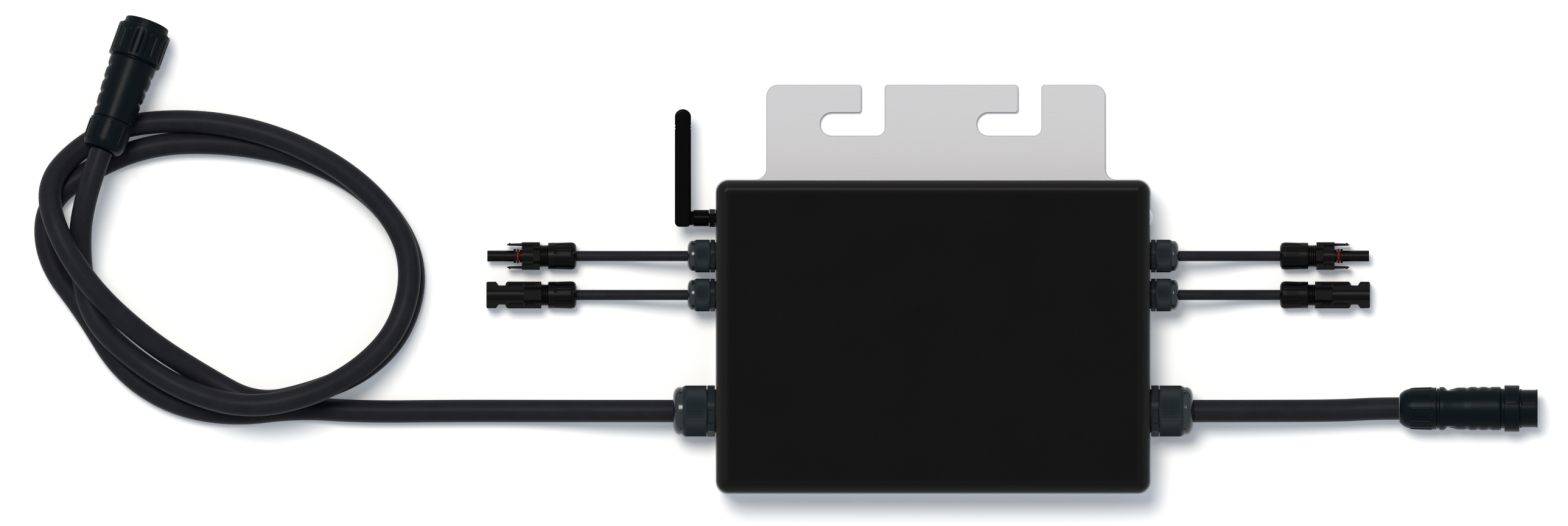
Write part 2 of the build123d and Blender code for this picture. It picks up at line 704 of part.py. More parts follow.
def large_cap(frame):
    """Cap of a grid cable gland."""
    domed_cap(
        frame,
        hollow=((6.1, 14.2), (18.6, 14.2), (18.6, 12.3), (20.2, 12.3), (24.2, 9.9), (24.2, 7.65)),
        skirt=(19.2, LARGE_CAP),
        chamfer_end=(21.2, 15.9),
        shoulder=(21.3, 15.75),
        crown=(25.9, 14.0),
        nose=(LARGE_NOSE, 10.5),
        bore=7.65,
    )


with BuildPart() as large_gland_cap_left:
    large_cap(wall_frame(LEFT, AC_Y))
save(large_gland_cap_left, "large_gland_cap_left")

with BuildPart() as large_gland_cap_right:
    large_cap(wall_frame(RIGHT, AC_Y))
save(large_gland_cap_right, "large_gland_cap_right")

with BuildPart() as small_gland_caps:
    for frame in small_gland_frames():
        domed_cap(
            frame,
            hollow=((4.2, 9.1), (12.4, 9.1), (12.4, 7.3), (13.6, 7.3), (16.2, 5.5), (16.2, 3.65)),
            skirt=(13.3, SMALL_CAP),
            chamfer_end=(13.6, 10.0),
            shoulder=(13.7, 9.9),
            crown=(17.0, 8.5),
            nose=(SMALL_NOSE, 5.5),
            bore=3.65,
        )
save(small_gland_caps, "small_gland_caps")

# ---- module leads and their connectors ---------------------------------------------------------

PV_AXIS_Z = 9.1
PV_REAR_LEFT = 230.4
PV_REAR_RIGHT = 224.1


def pv_rear(side):
    """Distance of a module connector's rear face from the middle of the case."""
    return PV_REAR_LEFT if side == LEFT else PV_REAR_RIGHT


def pv_frame(side, y):
    """Frame of a module connector: its Z axis runs from the lead to the open end."""
    return Plane(origin=(side * pv_rear(side), y, PV_AXIS_Z), x_dir=(0, 1, 0), z_dir=(side, 0, 0))


def pv_route(side, y):
    """A module lead from its gland's nose down to the surface and into its connector."""
    nose = WALL + SMALL_NOSE
    rear = pv_rear(side)
    straight = 0.24 * (rear - nose)
    return (
        (side * nose, y, AXIS_Z),
        (side * (nose + straight), y, AXIS_Z),
        (side * (rear - straight), y, PV_AXIS_Z),
        (side * rear, y, PV_AXIS_Z),
    )


PV_LEADS = {
    "pv_lead_left_upper": pv_route(LEFT, PV_UPPER_Y),
    "pv_lead_left_lower": pv_route(LEFT, PV_LOWER_Y),
    "pv_lead_right_upper": pv_route(RIGHT, PV_UPPER_Y),
    "pv_lead_right_lower": pv_route(RIGHT, PV_LOWER_Y),
}

for name, route in PV_LEADS.items():
    with BuildPart() as pv_lead:
        length = tube(route, PV_CABLE)
    save_cord(pv_lead, name, route, PV_CABLE, length)

PV_NUT_LENGTH = 18.3
PV_NUT_REAR = 9.05
PV_NUT_FRONT = 8.45
PV_FLUTES = 12
PV_BARREL_INSIDE = 2.3
PV_SOCKET = 4.8
PV_BODY_HEIGHT = 14.5


def pv_nut(frame):
    """Cap nut: rounded rear, finger flutes, a smooth collar and a hole for the lead."""
    with BuildSketch(axial(frame)) as half_section:
        with BuildLine():
            Polyline((4.2, 7.4), (4.2, 5.8), (2.6, 3.4), (0, 3.4), (0, 6.0))
            ThreePointArc((0, 6.0), (0.8, 8.2), (2.6, PV_NUT_REAR))
            Polyline(
                (2.6, PV_NUT_REAR),
                (14.0, 8.65),
                (14.2, PV_NUT_FRONT),
                (PV_NUT_LENGTH - 0.4, PV_NUT_FRONT),
                (PV_NUT_LENGTH, PV_NUT_FRONT - 0.4),
                (PV_NUT_LENGTH, 7.4),
                (4.2, 7.4),
            )
        make_face()
    revolve(half_section.sketch, axis=axis_of(frame))
    with BuildSketch(frame.offset(2.6)) as flutes:
        with PolarLocations(PV_NUT_REAR + 1.1, PV_FLUTES):
            Circle(1.7)
    extrude(flutes.sketch, amount=10.8, mode=Mode.SUBTRACT)


def half_outline(frame, height, *corners):
    """Flat block: an outline of (station, y) corners mirrored about the axis, with a height in z."""
    flat = Plane(origin=frame.origin, x_dir=frame.z_dir, z_dir=(0, 0, 1))
    mirrored = [(station, -y) for station, y in reversed(corners)]
    with BuildSketch(flat) as section:
        with BuildLine():
            Polyline(*corners, *mirrored, close=True)
        make_face()
    extrude(section.sketch, amount=height / 2, both=True)


def side_bars(frame, start, stop, inner, outer, bottom, top, mode=Mode.ADD):
    """Four bars beside the barrel, on both sides and both faces of a module connector."""
    with BuildSketch(frame.offset(start)) as section:
        for across in (-1, 1):
            for up in (-1, 1):
                with Locations((across * (inner + outer) / 2, up * (bottom + top) / 2)):
                    Rectangle(outer - inner, top - bottom)
    extrude(section.sketch, amount=stop - start, mode=mode)


def octagon(frame, start, stop, across_flats):
    """Eight-sided boss round the axis, with a flat on top."""
    with BuildSketch(frame.offset(start)) as section:
        RegularPolygon(across_flats / 2, 8, major_radius=False, rotation=22.5)
    extrude(section.sketch, amount=stop - start)


def thread(frame, start, stop, radius, crests):
    """Turned thread drawn as a few crests, as its turns look from outside."""
    ring(frame, start, stop, 0, radius)
    pitch = (stop - start) / crests
    for crest in range(crests):
        middle = start + pitch * (crest + 0.5)
        turned(
            frame,
            (middle - 0.5, radius - 0.1),
            (middle, radius + 0.35),
            (middle + 0.5, radius - 0.1),
        )


PV_BARREL = 6.3
PV_WEB = 10.6
PV_RAIL_TOP = 6.3
PV_WINDOW_FLOOR = 2.4


def pv_male(frame):
    """Housing with two spring arms, a ringed stem and the long contact sleeve."""
    ring(frame, 5.0, PV_NUT_LENGTH, 0, 6.9)
    thread(frame, PV_NUT_LENGTH, 23.6, 6.9, 4)
    half_outline(frame, PV_WEB, (23.6, 8.95), (35.3, 8.95))
    octagon(frame, 23.6, 28.0, PV_BODY_HEIGHT)
    ring(frame, 28.0, 35.3, 0, PV_BARREL)
    side_bars(frame, 23.6, 35.3, 7.2, 8.95, 0, PV_RAIL_TOP)
    side_bars(frame, 28.4, 34.5, 4.9, 7.2, PV_WINDOW_FLOOR, PV_BODY_HEIGHT, Mode.SUBTRACT)
    ring(frame, 35.3, 40.5, 0, 4.15)
    ring(frame, 39.2, 40.5, 0, 4.6)
    ring(frame, 36.7, 39.0, 2.9, 6.0, Mode.SUBTRACT)
    ring(frame, 40.5, 57.6, 0, 3.6)
    for across in (-1, 1):
        with BuildSketch(Plane(origin=frame.origin, x_dir=frame.z_dir, z_dir=(0, 0, 1))) as arm:
            with BuildLine():
                Polyline(
                    (35.2, across * 6.4),
                    (43.4, across * 6.6),
                    (45.3, across * 7.1),
                    (43.0, across * 8.7),
                    (42.6, across * 8.1),
                    (35.2, across * 8.3),
                    close=True,
                )
            make_face()
        extrude(arm.sketch, amount=3.6, both=True)
    ring(frame, 5.0, 58.0, 0, PV_BARREL_INSIDE, Mode.SUBTRACT)
    ring(frame, 5.0, 16.0, 0, PV_CABLE / 2 + FIT, Mode.SUBTRACT)


def pv_female(frame):
    """Housing with a notched body, two latch windows and a round socket."""
    ring(frame, 5.0, PV_NUT_LENGTH, 0, 6.65)
    thread(frame, PV_NUT_LENGTH, 22.65, 6.65, 4)
    half_outline(
        frame,
        PV_WEB,
        (22.65, 8.7),
        (44.4, 8.7),
        (45.3, 8.0),
        (46.0, 6.2),
        (50.3, 6.2),
        (51.9, 8.6),
        (57.4, 8.6),
        (58.2, 8.0),
    )
    octagon(frame, 22.65, 33.9, PV_BODY_HEIGHT)
    ring(frame, 33.9, 58.2, 0, PV_BARREL)
    side_bars(frame, 22.65, 44.4, 7.5, 8.7, 0, PV_RAIL_TOP)
    side_bars(frame, 26.8, 32.9, 5.2, 7.5, PV_WINDOW_FLOOR, PV_BODY_HEIGHT, Mode.SUBTRACT)
    side_bars(frame, 34.9, 43.6, 5.2, 7.5, PV_WINDOW_FLOOR, PV_BODY_HEIGHT, Mode.SUBTRACT)
    ring(frame, 5.0, 40.0, 0, PV_BARREL_INSIDE, Mode.SUBTRACT)
    ring(frame, 40.0, 58.4, 0, PV_SOCKET, Mode.SUBTRACT)
    ring(frame, 5.0, 16.0, 0, PV_CABLE / 2 + FIT, Mode.SUBTRACT)
    with BuildSketch(frame.offset(45.8)) as latch_slots:
        for across in (-1, 1):
            with Locations((across * 7.1, 0)):
                Rectangle(2.2, 7.6)
    extrude(latch_slots.sketch, amount=13.0, mode=Mode.SUBTRACT)


with BuildPart() as pv_male_left:
    pv_male(pv_frame(LEFT, PV_UPPER_Y))
save(pv_male_left, "pv_male_left")

with BuildPart() as pv_male_right:
    pv_male(pv_frame(RIGHT, PV_UPPER_Y))
save(pv_male_right, "pv_male_right")

with BuildPart() as pv_female_left:
    pv_female(pv_frame(LEFT, PV_LOWER_Y))
save(pv_female_left, "pv_female_left")

with BuildPart() as pv_female_right:
    pv_female(pv_frame(RIGHT, PV_LOWER_Y))
save(pv_female_right, "pv_female_right")

with BuildPart() as pv_nuts_left:
    pv_nut(pv_frame(LEFT, PV_UPPER_Y))
    pv_nut(pv_frame(LEFT, PV_LOWER_Y))
save(pv_nuts_left, "pv_nuts_left")

with BuildPart() as pv_nuts_right:
    pv_nut(pv_frame(RIGHT, PV_UPPER_Y))
    pv_nut(pv_frame(RIGHT, PV_LOWER_Y))
save(pv_nuts_right, "pv_nuts_right")

with BuildPart() as pv_orings:
    for side in (LEFT, RIGHT):
        groove = pv_frame(side, PV_UPPER_Y).offset(37.85)
        with BuildSketch(axial(groove)):
            with Locations((0, 3.8)):
                Circle(0.88)
        revolve(axis=axis_of(groove))
save(pv_orings, "pv_orings")

with BuildPart() as pv_contacts:
    for side in (LEFT, RIGHT):
        ring(pv_frame(side, PV_UPPER_Y), 16.2, 57.0, 1.5, PV_BARREL_INSIDE - FIT)
        ring(pv_frame(side, PV_LOWER_Y), 16.2, 39.5, 0, PV_BARREL_INSIDE - FIT)
save(pv_contacts, "pv_contacts")

# ---- grid cable, right side: short tail and its connector --------------------------------------

AC_LEAD_RIGHT = (
    (WALL + LARGE_NOSE, AC_Y, AXIS_Z),
    (204.0, -78.6, 21.5),
    (262.0, -78.4, 15.2),
    (286.0, -77.0, 15.2),
    (301.2, -77.0, 15.2),
)

AC_RIGHT = Plane(origin=AC_LEAD_RIGHT[-1], x_dir=(0, 1, 0), z_dir=(1, 0, 0))

with BuildPart() as ac_lead_right:
    length = tube(AC_LEAD_RIGHT, AC_CABLE)
save_cord(ac_lead_right, "ac_lead_right", AC_LEAD_RIGHT, AC_CABLE, length)

with BuildPart() as ac_right_nut:
    with BuildSketch(axial(AC_RIGHT)):
        with BuildLine():
            Polyline((9.0, 12.0), (5.0, 7.4), (0, 7.4), (0, 8.4))
            ThreePointArc((0, 8.4), (3.3, 11.4), (9.2, 13.2))
            Polyline((9.2, 13.2), (23.6, 13.8), (23.6, 12.0), (9.0, 12.0))
        make_face()
    revolve(axis=axis_of(AC_RIGHT))
    with BuildSketch(AC_RIGHT.offset(8.0)):
        with PolarLocations(14.6, 16):
            Circle(1.35)
    extrude(amount=14.6, mode=Mode.SUBTRACT)
save(ac_right_nut, "ac_right_nut")

SHELL_INSIDE = 10.4
PIN_CIRCLE = 5.6
PIN_RADIUS = 1.25
AC_PINS = 5
RIGHT_SHELL = 12.1
BODY_WAIST = 11.9
BODY_OUTER = 14.0
# Station, depth and radius of each finger dip in the sides.
SIDE_DIPS = ((32.4, 2.2, 4.7), (44.0, 0.7, 1.9), (51.0, 0.7, 1.9), (58.0, 0.7, 1.9))

with BuildPart() as ac_right_body:
    turned(
        AC_RIGHT,
        (10.0, 7.4),
        (10.0, BODY_WAIST),
        (26.2, BODY_WAIST),
        (26.2, BODY_OUTER),
        (28.5, BODY_OUTER),
        (34.0, 13.6),
        (42.3, 13.6),
        (45.8, BODY_OUTER),
        (65.8, BODY_OUTER),
        (65.8, 12.8),
        (67.8, 12.8),
        (67.8, RIGHT_SHELL),
        (77.9, RIGHT_SHELL),
        (77.9, 12.6),
        (79.0, 12.6),
        (79.0, RIGHT_SHELL),
        (89.0, RIGHT_SHELL),
        (89.4, RIGHT_SHELL - 0.4),
        (89.4, SHELL_INSIDE),
        (66.0, SHELL_INSIDE),
        (66.0, 7.4),
    )
    for station, depth, scoop in SIDE_DIPS:
        for across in (-1, 1):
            away = BODY_OUTER - depth + scoop
            dip = Plane(
                origin=AC_RIGHT.origin + AC_RIGHT.z_dir * station + AC_RIGHT.x_dir * across * away,
                x_dir=AC_RIGHT.z_dir,
                z_dir=(0, 0, 1),
            )
            ring(dip, -9, 9, 0, scoop, Mode.SUBTRACT)
save(ac_right_body, "ac_right_body")

with BuildPart() as ac_right_insert:
    ring(AC_RIGHT, 66.1, 76.0, 0, SHELL_INSIDE - FIT)
    with BuildSketch(AC_RIGHT.offset(76.0)):
        with PolarLocations(PIN_CIRCLE, AC_PINS):
            Circle(PIN_RADIUS)
    extrude(amount=9.5)
save(ac_right_insert, "ac_right_insert")


def keyed_collar(frame, start, stop, inner, outer, key_angle, key_width, key_height):
    """Coupling collar with one raised key along its outside."""
    turned(
        frame,
        (start, inner),
        (start, outer - 0.5),
        (start + 0.5, outer),
        (stop - 0.5, outer),
        (stop, outer - 0.5),
        (stop, inner),
    )
    with BuildSketch(frame.offset(start + 0.6)) as key:
        with PolarLocations(outer, 1, start_angle=key_angle):
            Rectangle(2 * key_height, key_width)
    extrude(key.sketch, amount=stop - start - 1.2)


KEY_ANGLE = 70.0

with BuildPart() as ac_right_collar:
    keyed_collar(AC_RIGHT, 67.9, 77.6, RIGHT_SHELL + FIT, 15.0, KEY_ANGLE, 4.4, 0.6)
save(ac_right_collar, "ac_right_collar")

# ---- grid cable, left side: the looped trunk and its connector ---------------------------------

ON_SURFACE = 7.35

AC_TRUNK = (
    (-(WALL + LARGE_NOSE), AC_Y, AXIS_Z),
    (-200, -78.6, 21.5),
    (-255, -78.6, 8.0),
    (-310, -78.5, ON_SURFACE),
    (-368, -79.2, ON_SURFACE),
    (-411, -76.4, ON_SURFACE),
    (-452, -81.6, ON_SURFACE),
    (-491.4, -74.6, ON_SURFACE),
    (-525, -52.3, ON_SURFACE),
    (-547.2, -14.8, ON_SURFACE),
    (-572.8, 18.5, ON_SURFACE),
    (-574, 54.0, ON_SURFACE),
    (-547.5, 76.3, ON_SURFACE),
    (-506, 93.8, ON_SURFACE),
    (-460, 95.2, ON_SURFACE),
    (-412, 87.3, ON_SURFACE),
    (-370.5, 68.8, ON_SURFACE),
    (-342.5, 38.5, ON_SURFACE),
    (-333, 6.5, ON_SURFACE),
    (-343.4, -28.8, 9.0),
    (-367.1, -52.8, 15.0),
    (-400, -66.6, 21.0),
    (-437, -75.0, 21.2),
    (-471.7, -55.9, 15.5),
    (-508.2, -32.6, 26.4),
    (-544, 0.0, 37.0),
    (-566.3, 36.0, 36.5),
    (-573.2, 67.0, 22.3),
    (-554.6, 89.6, 8.5),
    (-524, 107.0, ON_SURFACE),
    (-470, 109.5, 13.5),
    (-420, 98.2, 22.5),
    (-375, 74.0, 22.5),
    (-344.7, 41.5, 22.1),
    (-336.2, 9.5, 22.1),
    (-345.4, -25.8, 24.0),
    (-369.1, -51.3, 31.0),
    (-402, -69.0, 37.5),
    (-442, -77.0, 37.0),
    (-480.7, -67.3, 26.0),
    (-514.4, -47.3, 21.8),
    (-544, -19.3, 23.9),
    (-551.7, 18.0, 19.0),
    (-549.8, 56.3, 37.5),
    (-537.2, 89.4, 33.2),
)

with BuildPart() as ac_trunk_left:
    length = tube(AC_TRUNK, AC_CABLE)
save_cord(ac_trunk_left, "ac_trunk_left", AC_TRUNK, AC_CABLE, length)

AC_LEFT = Plane(origin=AC_TRUNK[-1], x_dir=(0.940, -0.340, 0), z_dir=(0.334, 0.924, -0.184))

with BuildPart() as ac_left_nut:
    with BuildSketch(axial(AC_LEFT)):
        with BuildLine():
            Polyline((9.0, 12.0), (5.0, 7.4), (0, 7.4), (0, 9.6))
            ThreePointArc((0, 9.6), (2.2, 12.6), (7.0, 14.0))
            Polyline((7.0, 14.0), (19.8, 14.2), (19.8, 12.0), (9.0, 12.0))
        make_face()
    revolve(axis=axis_of(AC_LEFT))
    with BuildSketch(AC_LEFT.offset(5.0)):
        with PolarLocations(15.0, 16):
            Circle(1.35)
    extrude(amount=13.0, mode=Mode.SUBTRACT)
save(ac_left_nut, "ac_left_nut")

LEFT_SHELL = 14.6
MOUTH = 12.6
MOUTH_BACK = 11.6

with BuildPart() as ac_left_body:
    turned(
        AC_LEFT,
        (10.0, 7.4),
        (10.0, 11.9),
        (21.0, 11.9),
        (21.0, 13.2),
        (34.0, 14.2),
        (50.0, 15.2),
        (61.0, 15.5),
        (62.2, 15.0),
        (62.2, LEFT_SHELL),
        (84.2, LEFT_SHELL),
        (84.2, 15.2),
        (85.4, 15.2),
        (85.4, LEFT_SHELL),
        (89.0, 14.4),
        (89.0, MOUTH),
        (72.0, MOUTH),
        (72.0, MOUTH_BACK),
        (66.0, MOUTH_BACK),
        (66.0, 7.4),
    )
    for station in (27.5, 36.5, 45.5, 54.5):
        for across in (-1, 1):
            dip = Plane(
                origin=AC_LEFT.origin + AC_LEFT.z_dir * station + AC_LEFT.x_dir * across * 16.6,
                x_dir=AC_LEFT.z_dir,
                z_dir=AC_LEFT.x_dir.cross(AC_LEFT.z_dir),
            )
            ring(dip, -9, 9, 0, 3.0, Mode.SUBTRACT)
save(ac_left_body, "ac_left_body")

with BuildPart() as ac_left_insert:
    ring(AC_LEFT, 58.0, 66.1, 0, 7.3)
    ring(AC_LEFT, 66.1, 71.9, 0, MOUTH_BACK - FIT)
    with BuildSketch(AC_LEFT.offset(61.0)):
        with PolarLocations(PIN_CIRCLE, AC_PINS):
            Circle(PIN_RADIUS + 0.1)
    extrude(amount=10.9, mode=Mode.SUBTRACT)
save(ac_left_insert, "ac_left_insert")

with BuildPart() as ac_left_ring:
    turned(
        AC_LEFT,
        (63.0, LEFT_SHELL + FIT),
        (63.0, 16.9),
        (63.5, 17.3),
        (83.4, 17.3),
        (84.0, 16.8),
        (84.0, LEFT_SHELL + FIT),
    )
    with BuildSketch(AC_LEFT.offset(65.0)):
        with PolarLocations(18.2, 24):
            Circle(1.25)
    extrude(amount=15.0, mode=Mode.SUBTRACT)
save(ac_left_ring, "ac_left_ring")
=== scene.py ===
"""Looks of a micro inverter with its grid cable, module leads and connectors.

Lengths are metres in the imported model's frame: +Z out of the cover, +Y towards the hanging
hooks, +X towards the side with the indicator lamp.
"""

import json

import bpy
import numpy as np
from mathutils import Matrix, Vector

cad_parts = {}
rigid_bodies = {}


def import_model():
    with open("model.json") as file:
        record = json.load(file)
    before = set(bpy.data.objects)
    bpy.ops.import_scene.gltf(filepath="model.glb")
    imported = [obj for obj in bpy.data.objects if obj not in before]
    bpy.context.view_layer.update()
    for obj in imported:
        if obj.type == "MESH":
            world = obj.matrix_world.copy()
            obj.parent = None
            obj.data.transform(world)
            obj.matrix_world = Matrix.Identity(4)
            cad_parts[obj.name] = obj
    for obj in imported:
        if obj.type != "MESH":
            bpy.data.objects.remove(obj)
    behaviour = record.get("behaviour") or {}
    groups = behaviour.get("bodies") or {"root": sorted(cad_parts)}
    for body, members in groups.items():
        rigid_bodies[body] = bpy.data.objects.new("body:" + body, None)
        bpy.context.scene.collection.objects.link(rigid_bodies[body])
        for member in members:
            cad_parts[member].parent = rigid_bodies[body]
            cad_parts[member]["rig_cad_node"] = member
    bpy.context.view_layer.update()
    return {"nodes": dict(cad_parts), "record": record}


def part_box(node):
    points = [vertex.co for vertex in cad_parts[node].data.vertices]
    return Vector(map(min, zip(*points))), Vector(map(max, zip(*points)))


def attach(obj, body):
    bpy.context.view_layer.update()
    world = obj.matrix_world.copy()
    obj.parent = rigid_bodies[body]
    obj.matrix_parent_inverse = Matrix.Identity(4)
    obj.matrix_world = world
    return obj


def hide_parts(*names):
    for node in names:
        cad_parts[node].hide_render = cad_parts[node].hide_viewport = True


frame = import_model()

bl_info = {
    "name": "Micro inverter looks",
    "version": (1, 0, 0),
    "blender": (4, 5, 0),
    "location": "View3D > Sidebar > Inverter",
    "description": "Builds the visible pieces, finishes and studio of a micro inverter",
    "category": "Object",
}

MM = 0.001
FULL_TURN = 2 * np.pi
BLACK = (0.0, 0.0, 0.0)
WHITE = (1.0, 1.0, 1.0)

# Side walls, and the axes and rear ends of what leaves them
WALL_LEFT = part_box("cover")[0].x
WALL_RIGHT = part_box("cover")[1].x
AXIS_HEIGHT = 0.0215
AC_Y = -0.0786
PV_UPPER_Y = 0.0215
PV_LOWER_Y = -0.00366
PV_AXIS_HEIGHT = 0.0091
PV_REAR_LEFT = -0.2304
PV_REAR_RIGHT = 0.2241
AC_RIGHT_ORIGIN = (0.3012, -0.0770, 0.0152)
AC_LEFT_ORIGIN = (-0.5372, 0.0894, 0.0332)
AC_LEFT_AXIS = (0.334, 0.924, -0.184)
AC_LEFT_SIDE = (0.940, -0.340, 0.0)
KEY_ANGLE = np.radians(20)

# Camera, lamp and sky
VIEW_MIDDLE = (-0.0963, 0.0170)
VIEW_WIDTH = 1.013
CAMERA_HEIGHT = 1.5
KEY_TOWARDS = (-0.19, 0.335, 1.0)
KEY_COLOUR = (1.0, 0.952, 0.867)
KEY_SPREAD = np.radians(22)
SKY_COLOUR = (0.87, 0.98, 1.13)


# ---- settings ----


class InverterCableSettings(bpy.types.PropertyGroup):
    """Sizes of the cables."""

    trunk: bpy.props.FloatProperty(
        name="Grid cable", description="Diameter of the grid cable", default=0.0146, unit="LENGTH"
    )
    lead: bpy.props.FloatProperty(
        name="Module lead", description="Diameter of a module lead", default=0.0067, unit="LENGTH"
    )


class InverterGlandSettings(bpy.types.PropertyGroup):
    """Grip ribs of the cable glands."""

    large_ribs: bpy.props.IntProperty(
        name="Ribs, large", description="Grip ribs round a grid cable gland", default=104
    )
    small_ribs: bpy.props.IntProperty(
        name="Ribs, small", description="Grip ribs round a module lead gland", default=80
    )
    rib_depth: bpy.props.FloatProperty(
        name="Rib depth", description="Depth between two ribs", default=0.00034, unit="LENGTH"
    )


class InverterGripSettings(bpy.types.PropertyGroup):
    """Grips of the connectors."""

    nut_ribs: bpy.props.IntProperty(
        name="Lead nut ribs", description="Ribs round a module connector's nut", default=10
    )
    nut_rib_height: bpy.props.FloatProperty(
        name="Lead nut rib height",
        description="Height of those ribs",
        default=0.00055,
        unit="LENGTH",
    )
    cap_ribs: bpy.props.IntProperty(
        name="Coupling nut ribs", description="Ribs round a grid connector's nut", default=18
    )
    cap_rib_height: bpy.props.FloatProperty(
        name="Coupling nut rib height",
        description="Height of those ribs",
        default=0.00045,
        unit="LENGTH",
    )


class InverterFinishSettings(bpy.types.PropertyGroup):
    """Colours of the finishes."""

    coat: bpy.props.FloatVectorProperty(
        name="Cover",
        description="Powder coat of the cover",
        subtype="COLOR",
        default=(0.0023, 0.0023, 0.0023),
    )
    sheet: bpy.props.FloatVectorProperty(
        name="Plate",
        description="Anodised sheet of the plate",
        subtype="COLOR",
        default=(0.360, 0.361, 0.383),
    )
    nylon: bpy.props.FloatVectorProperty(
        name="Glands",
        description="Moulded nylon of the glands",
        subtype="COLOR",
        default=(0.0091, 0.0146, 0.0189),
    )
    housing: bpy.props.FloatVectorProperty(
        name="Module connectors",
        description="Their moulded plastic",
        subtype="COLOR",
        default=(0.0020, 0.0020, 0.0023),
    )
    coupling: bpy.props.FloatVectorProperty(
        name="Grid connectors",
        description="Their moulded plastic",
        subtype="COLOR",
        default=(0.0017, 0.0047, 0.0066),
    )
    sheath: bpy.props.FloatVectorProperty(
        name="Cables",
        description="Sheath of the cables",
        subtype="COLOR",
        default=(0.0131, 0.0134, 0.0168),
    )


class InverterStageSettings(bpy.types.PropertyGroup):
    """Floor and light."""

    floor: bpy.props.FloatVectorProperty(
        name="Floor",
        description="Colour of the floor",
        subtype="COLOR",
        default=(0.955, 0.955, 0.955),
    )
    key: bpy.props.FloatProperty(
        name="Key light", description="Strength of the key light", default=2.3
    )
    sky: bpy.props.FloatProperty(
        name="Sky light", description="Strength of the light all round", default=0.42
    )
    glow: bpy.props.FloatVectorProperty(
        name="Floor glow",
        description="Added to the floor where the camera, gloss or glass sees it",
        subtype="COLOR",
        default=(0.15, 0.155, 0.16),
    )


# ---- materials ----


class Value:
    """A number or colour on its way through a node tree. Operators add Math nodes to it."""

    def __init__(self, nodes, socket):
        self.nodes = nodes
        self.socket = socket

    def math(self, operation, *values):
        """Math node of the values given."""
        inputs = dict(enumerate(values))
        return self.nodes.node("ShaderNodeMath", {"operation": operation}, inputs)

    def __add__(self, other):
        return self.math("ADD", self, other)

    def __radd__(self, other):
        return self.math("ADD", other, self)

    def __sub__(self, other):
        return self.math("SUBTRACT", self, other)

    def __rsub__(self, other):
        return self.math("SUBTRACT", other, self)

    def __mul__(self, other):
        return self.math("MULTIPLY", self, other)

    def __rmul__(self, other):
        return self.math("MULTIPLY", other, self)

    def __abs__(self):
        return self.math("ABSOLUTE", self)

    def or_more(self, other):
        """The greater of this and another."""
        return self.math("MAXIMUM", self, other)

    def clamped(self, low, high):
        """0 below low, 1 above high and a straight ramp between."""
        ramp = (self - low) * (1 / (high - low))
        ramp.socket.node.use_clamp = True
        return ramp


def scaled(colour, factor):
    """A colour times a factor, no channel over 1."""
    return tuple(min(1.0, channel * factor) for channel in colour)


class Nodes:
    """A node tree under construction."""

    def __init__(self, tree):
        self.tree = tree

    def node(self, kind, settings=None, inputs=None, output=0):
        """Add a node: its type, its settings, which are set first, and values or links."""
        made = self.tree.nodes.new(kind)
        for key, value in (settings or {}).items():
            setattr(made, key, value)
        for key, value in (inputs or {}).items():
            if isinstance(value, Value):
                self.tree.links.new(value.socket, made.inputs[key])
            else:
                made.inputs[key].default_value = value
        return Value(self, made.outputs[output])

    def blend(self, share, low, high):
        """Colour between two, each three numbers or a value."""
        ends = [end if isinstance(end, Value) else (*end, 1.0) for end in (low, high)]
        inputs = {0: share, 6: ends[0], 7: ends[1]}
        return self.node("ShaderNodeMix", {"data_type": "RGBA"}, inputs, 2)

    def shades(self, share, colour, low, high):
        """Colour between two shades of one, low and high times itself."""
        return self.blend(share, scaled(colour, low), scaled(colour, high))

    def seen(self):
        """1 for what the camera, gloss or glass sees, and 0 for light on other things."""
        camera, gloss, glass = (
            self.node("ShaderNodeLightPath", output=f"Is {ray} Ray")
            for ray in ("Camera", "Glossy", "Transmission")
        )
        return camera.or_more(gloss).or_more(glass)


class Finish(Nodes):
    """One material under construction, with a Principled shader at its end."""

    def __init__(self, name, **constants):
        self.material = bpy.data.materials.new(name)
        self.material.use_nodes = True
        super().__init__(self.material.node_tree)
        self.shader = self.tree.nodes["Principled BSDF"]
        for socket, value in constants.items():
            self.shader.inputs[socket.replace("_", " ")].default_value = value

    def place(self, stretch=(1.0, 1.0, 1.0)):
        """Object coordinates, stretched along the axes."""
        coordinates = self.node("ShaderNodeTexCoord", output="Object")
        return self.node("ShaderNodeMapping", None, {"Vector": coordinates, "Scale": stretch})

    def axes(self):
        """The object coordinates X, Y and Z, each as a value."""
        place = self.node("ShaderNodeTexCoord", output="Object")
        split = self.node("ShaderNodeSeparateXYZ", None, {"Vector": place}).socket.node
        return [Value(self, output) for output in split.outputs]

    def noise(self, scale, detail, stretch=(1.0, 1.0, 1.0)):
        """Noise from 0 to 1 with about scale cells to a metre."""
        inputs = {"Vector": self.place(stretch), "Scale": scale, "Detail": detail}
        return self.node("ShaderNodeTexNoise", None, inputs, "Fac")

    def bump(self, height, distance, strength):
        """Normal pushed about by a height, which is worth a distance in metres at 1."""
        inputs = {"Height": height, "Distance": distance, "Strength": strength}
        return self.node("ShaderNodeBump", None, inputs, "Normal")

    def join(self, **links):
        """Link values to the shader's sockets, and give the finished material."""
        for socket, value in links.items():
            self.tree.links.new(value.socket, self.shader.inputs[socket.replace("_", " ")])
        return self.material


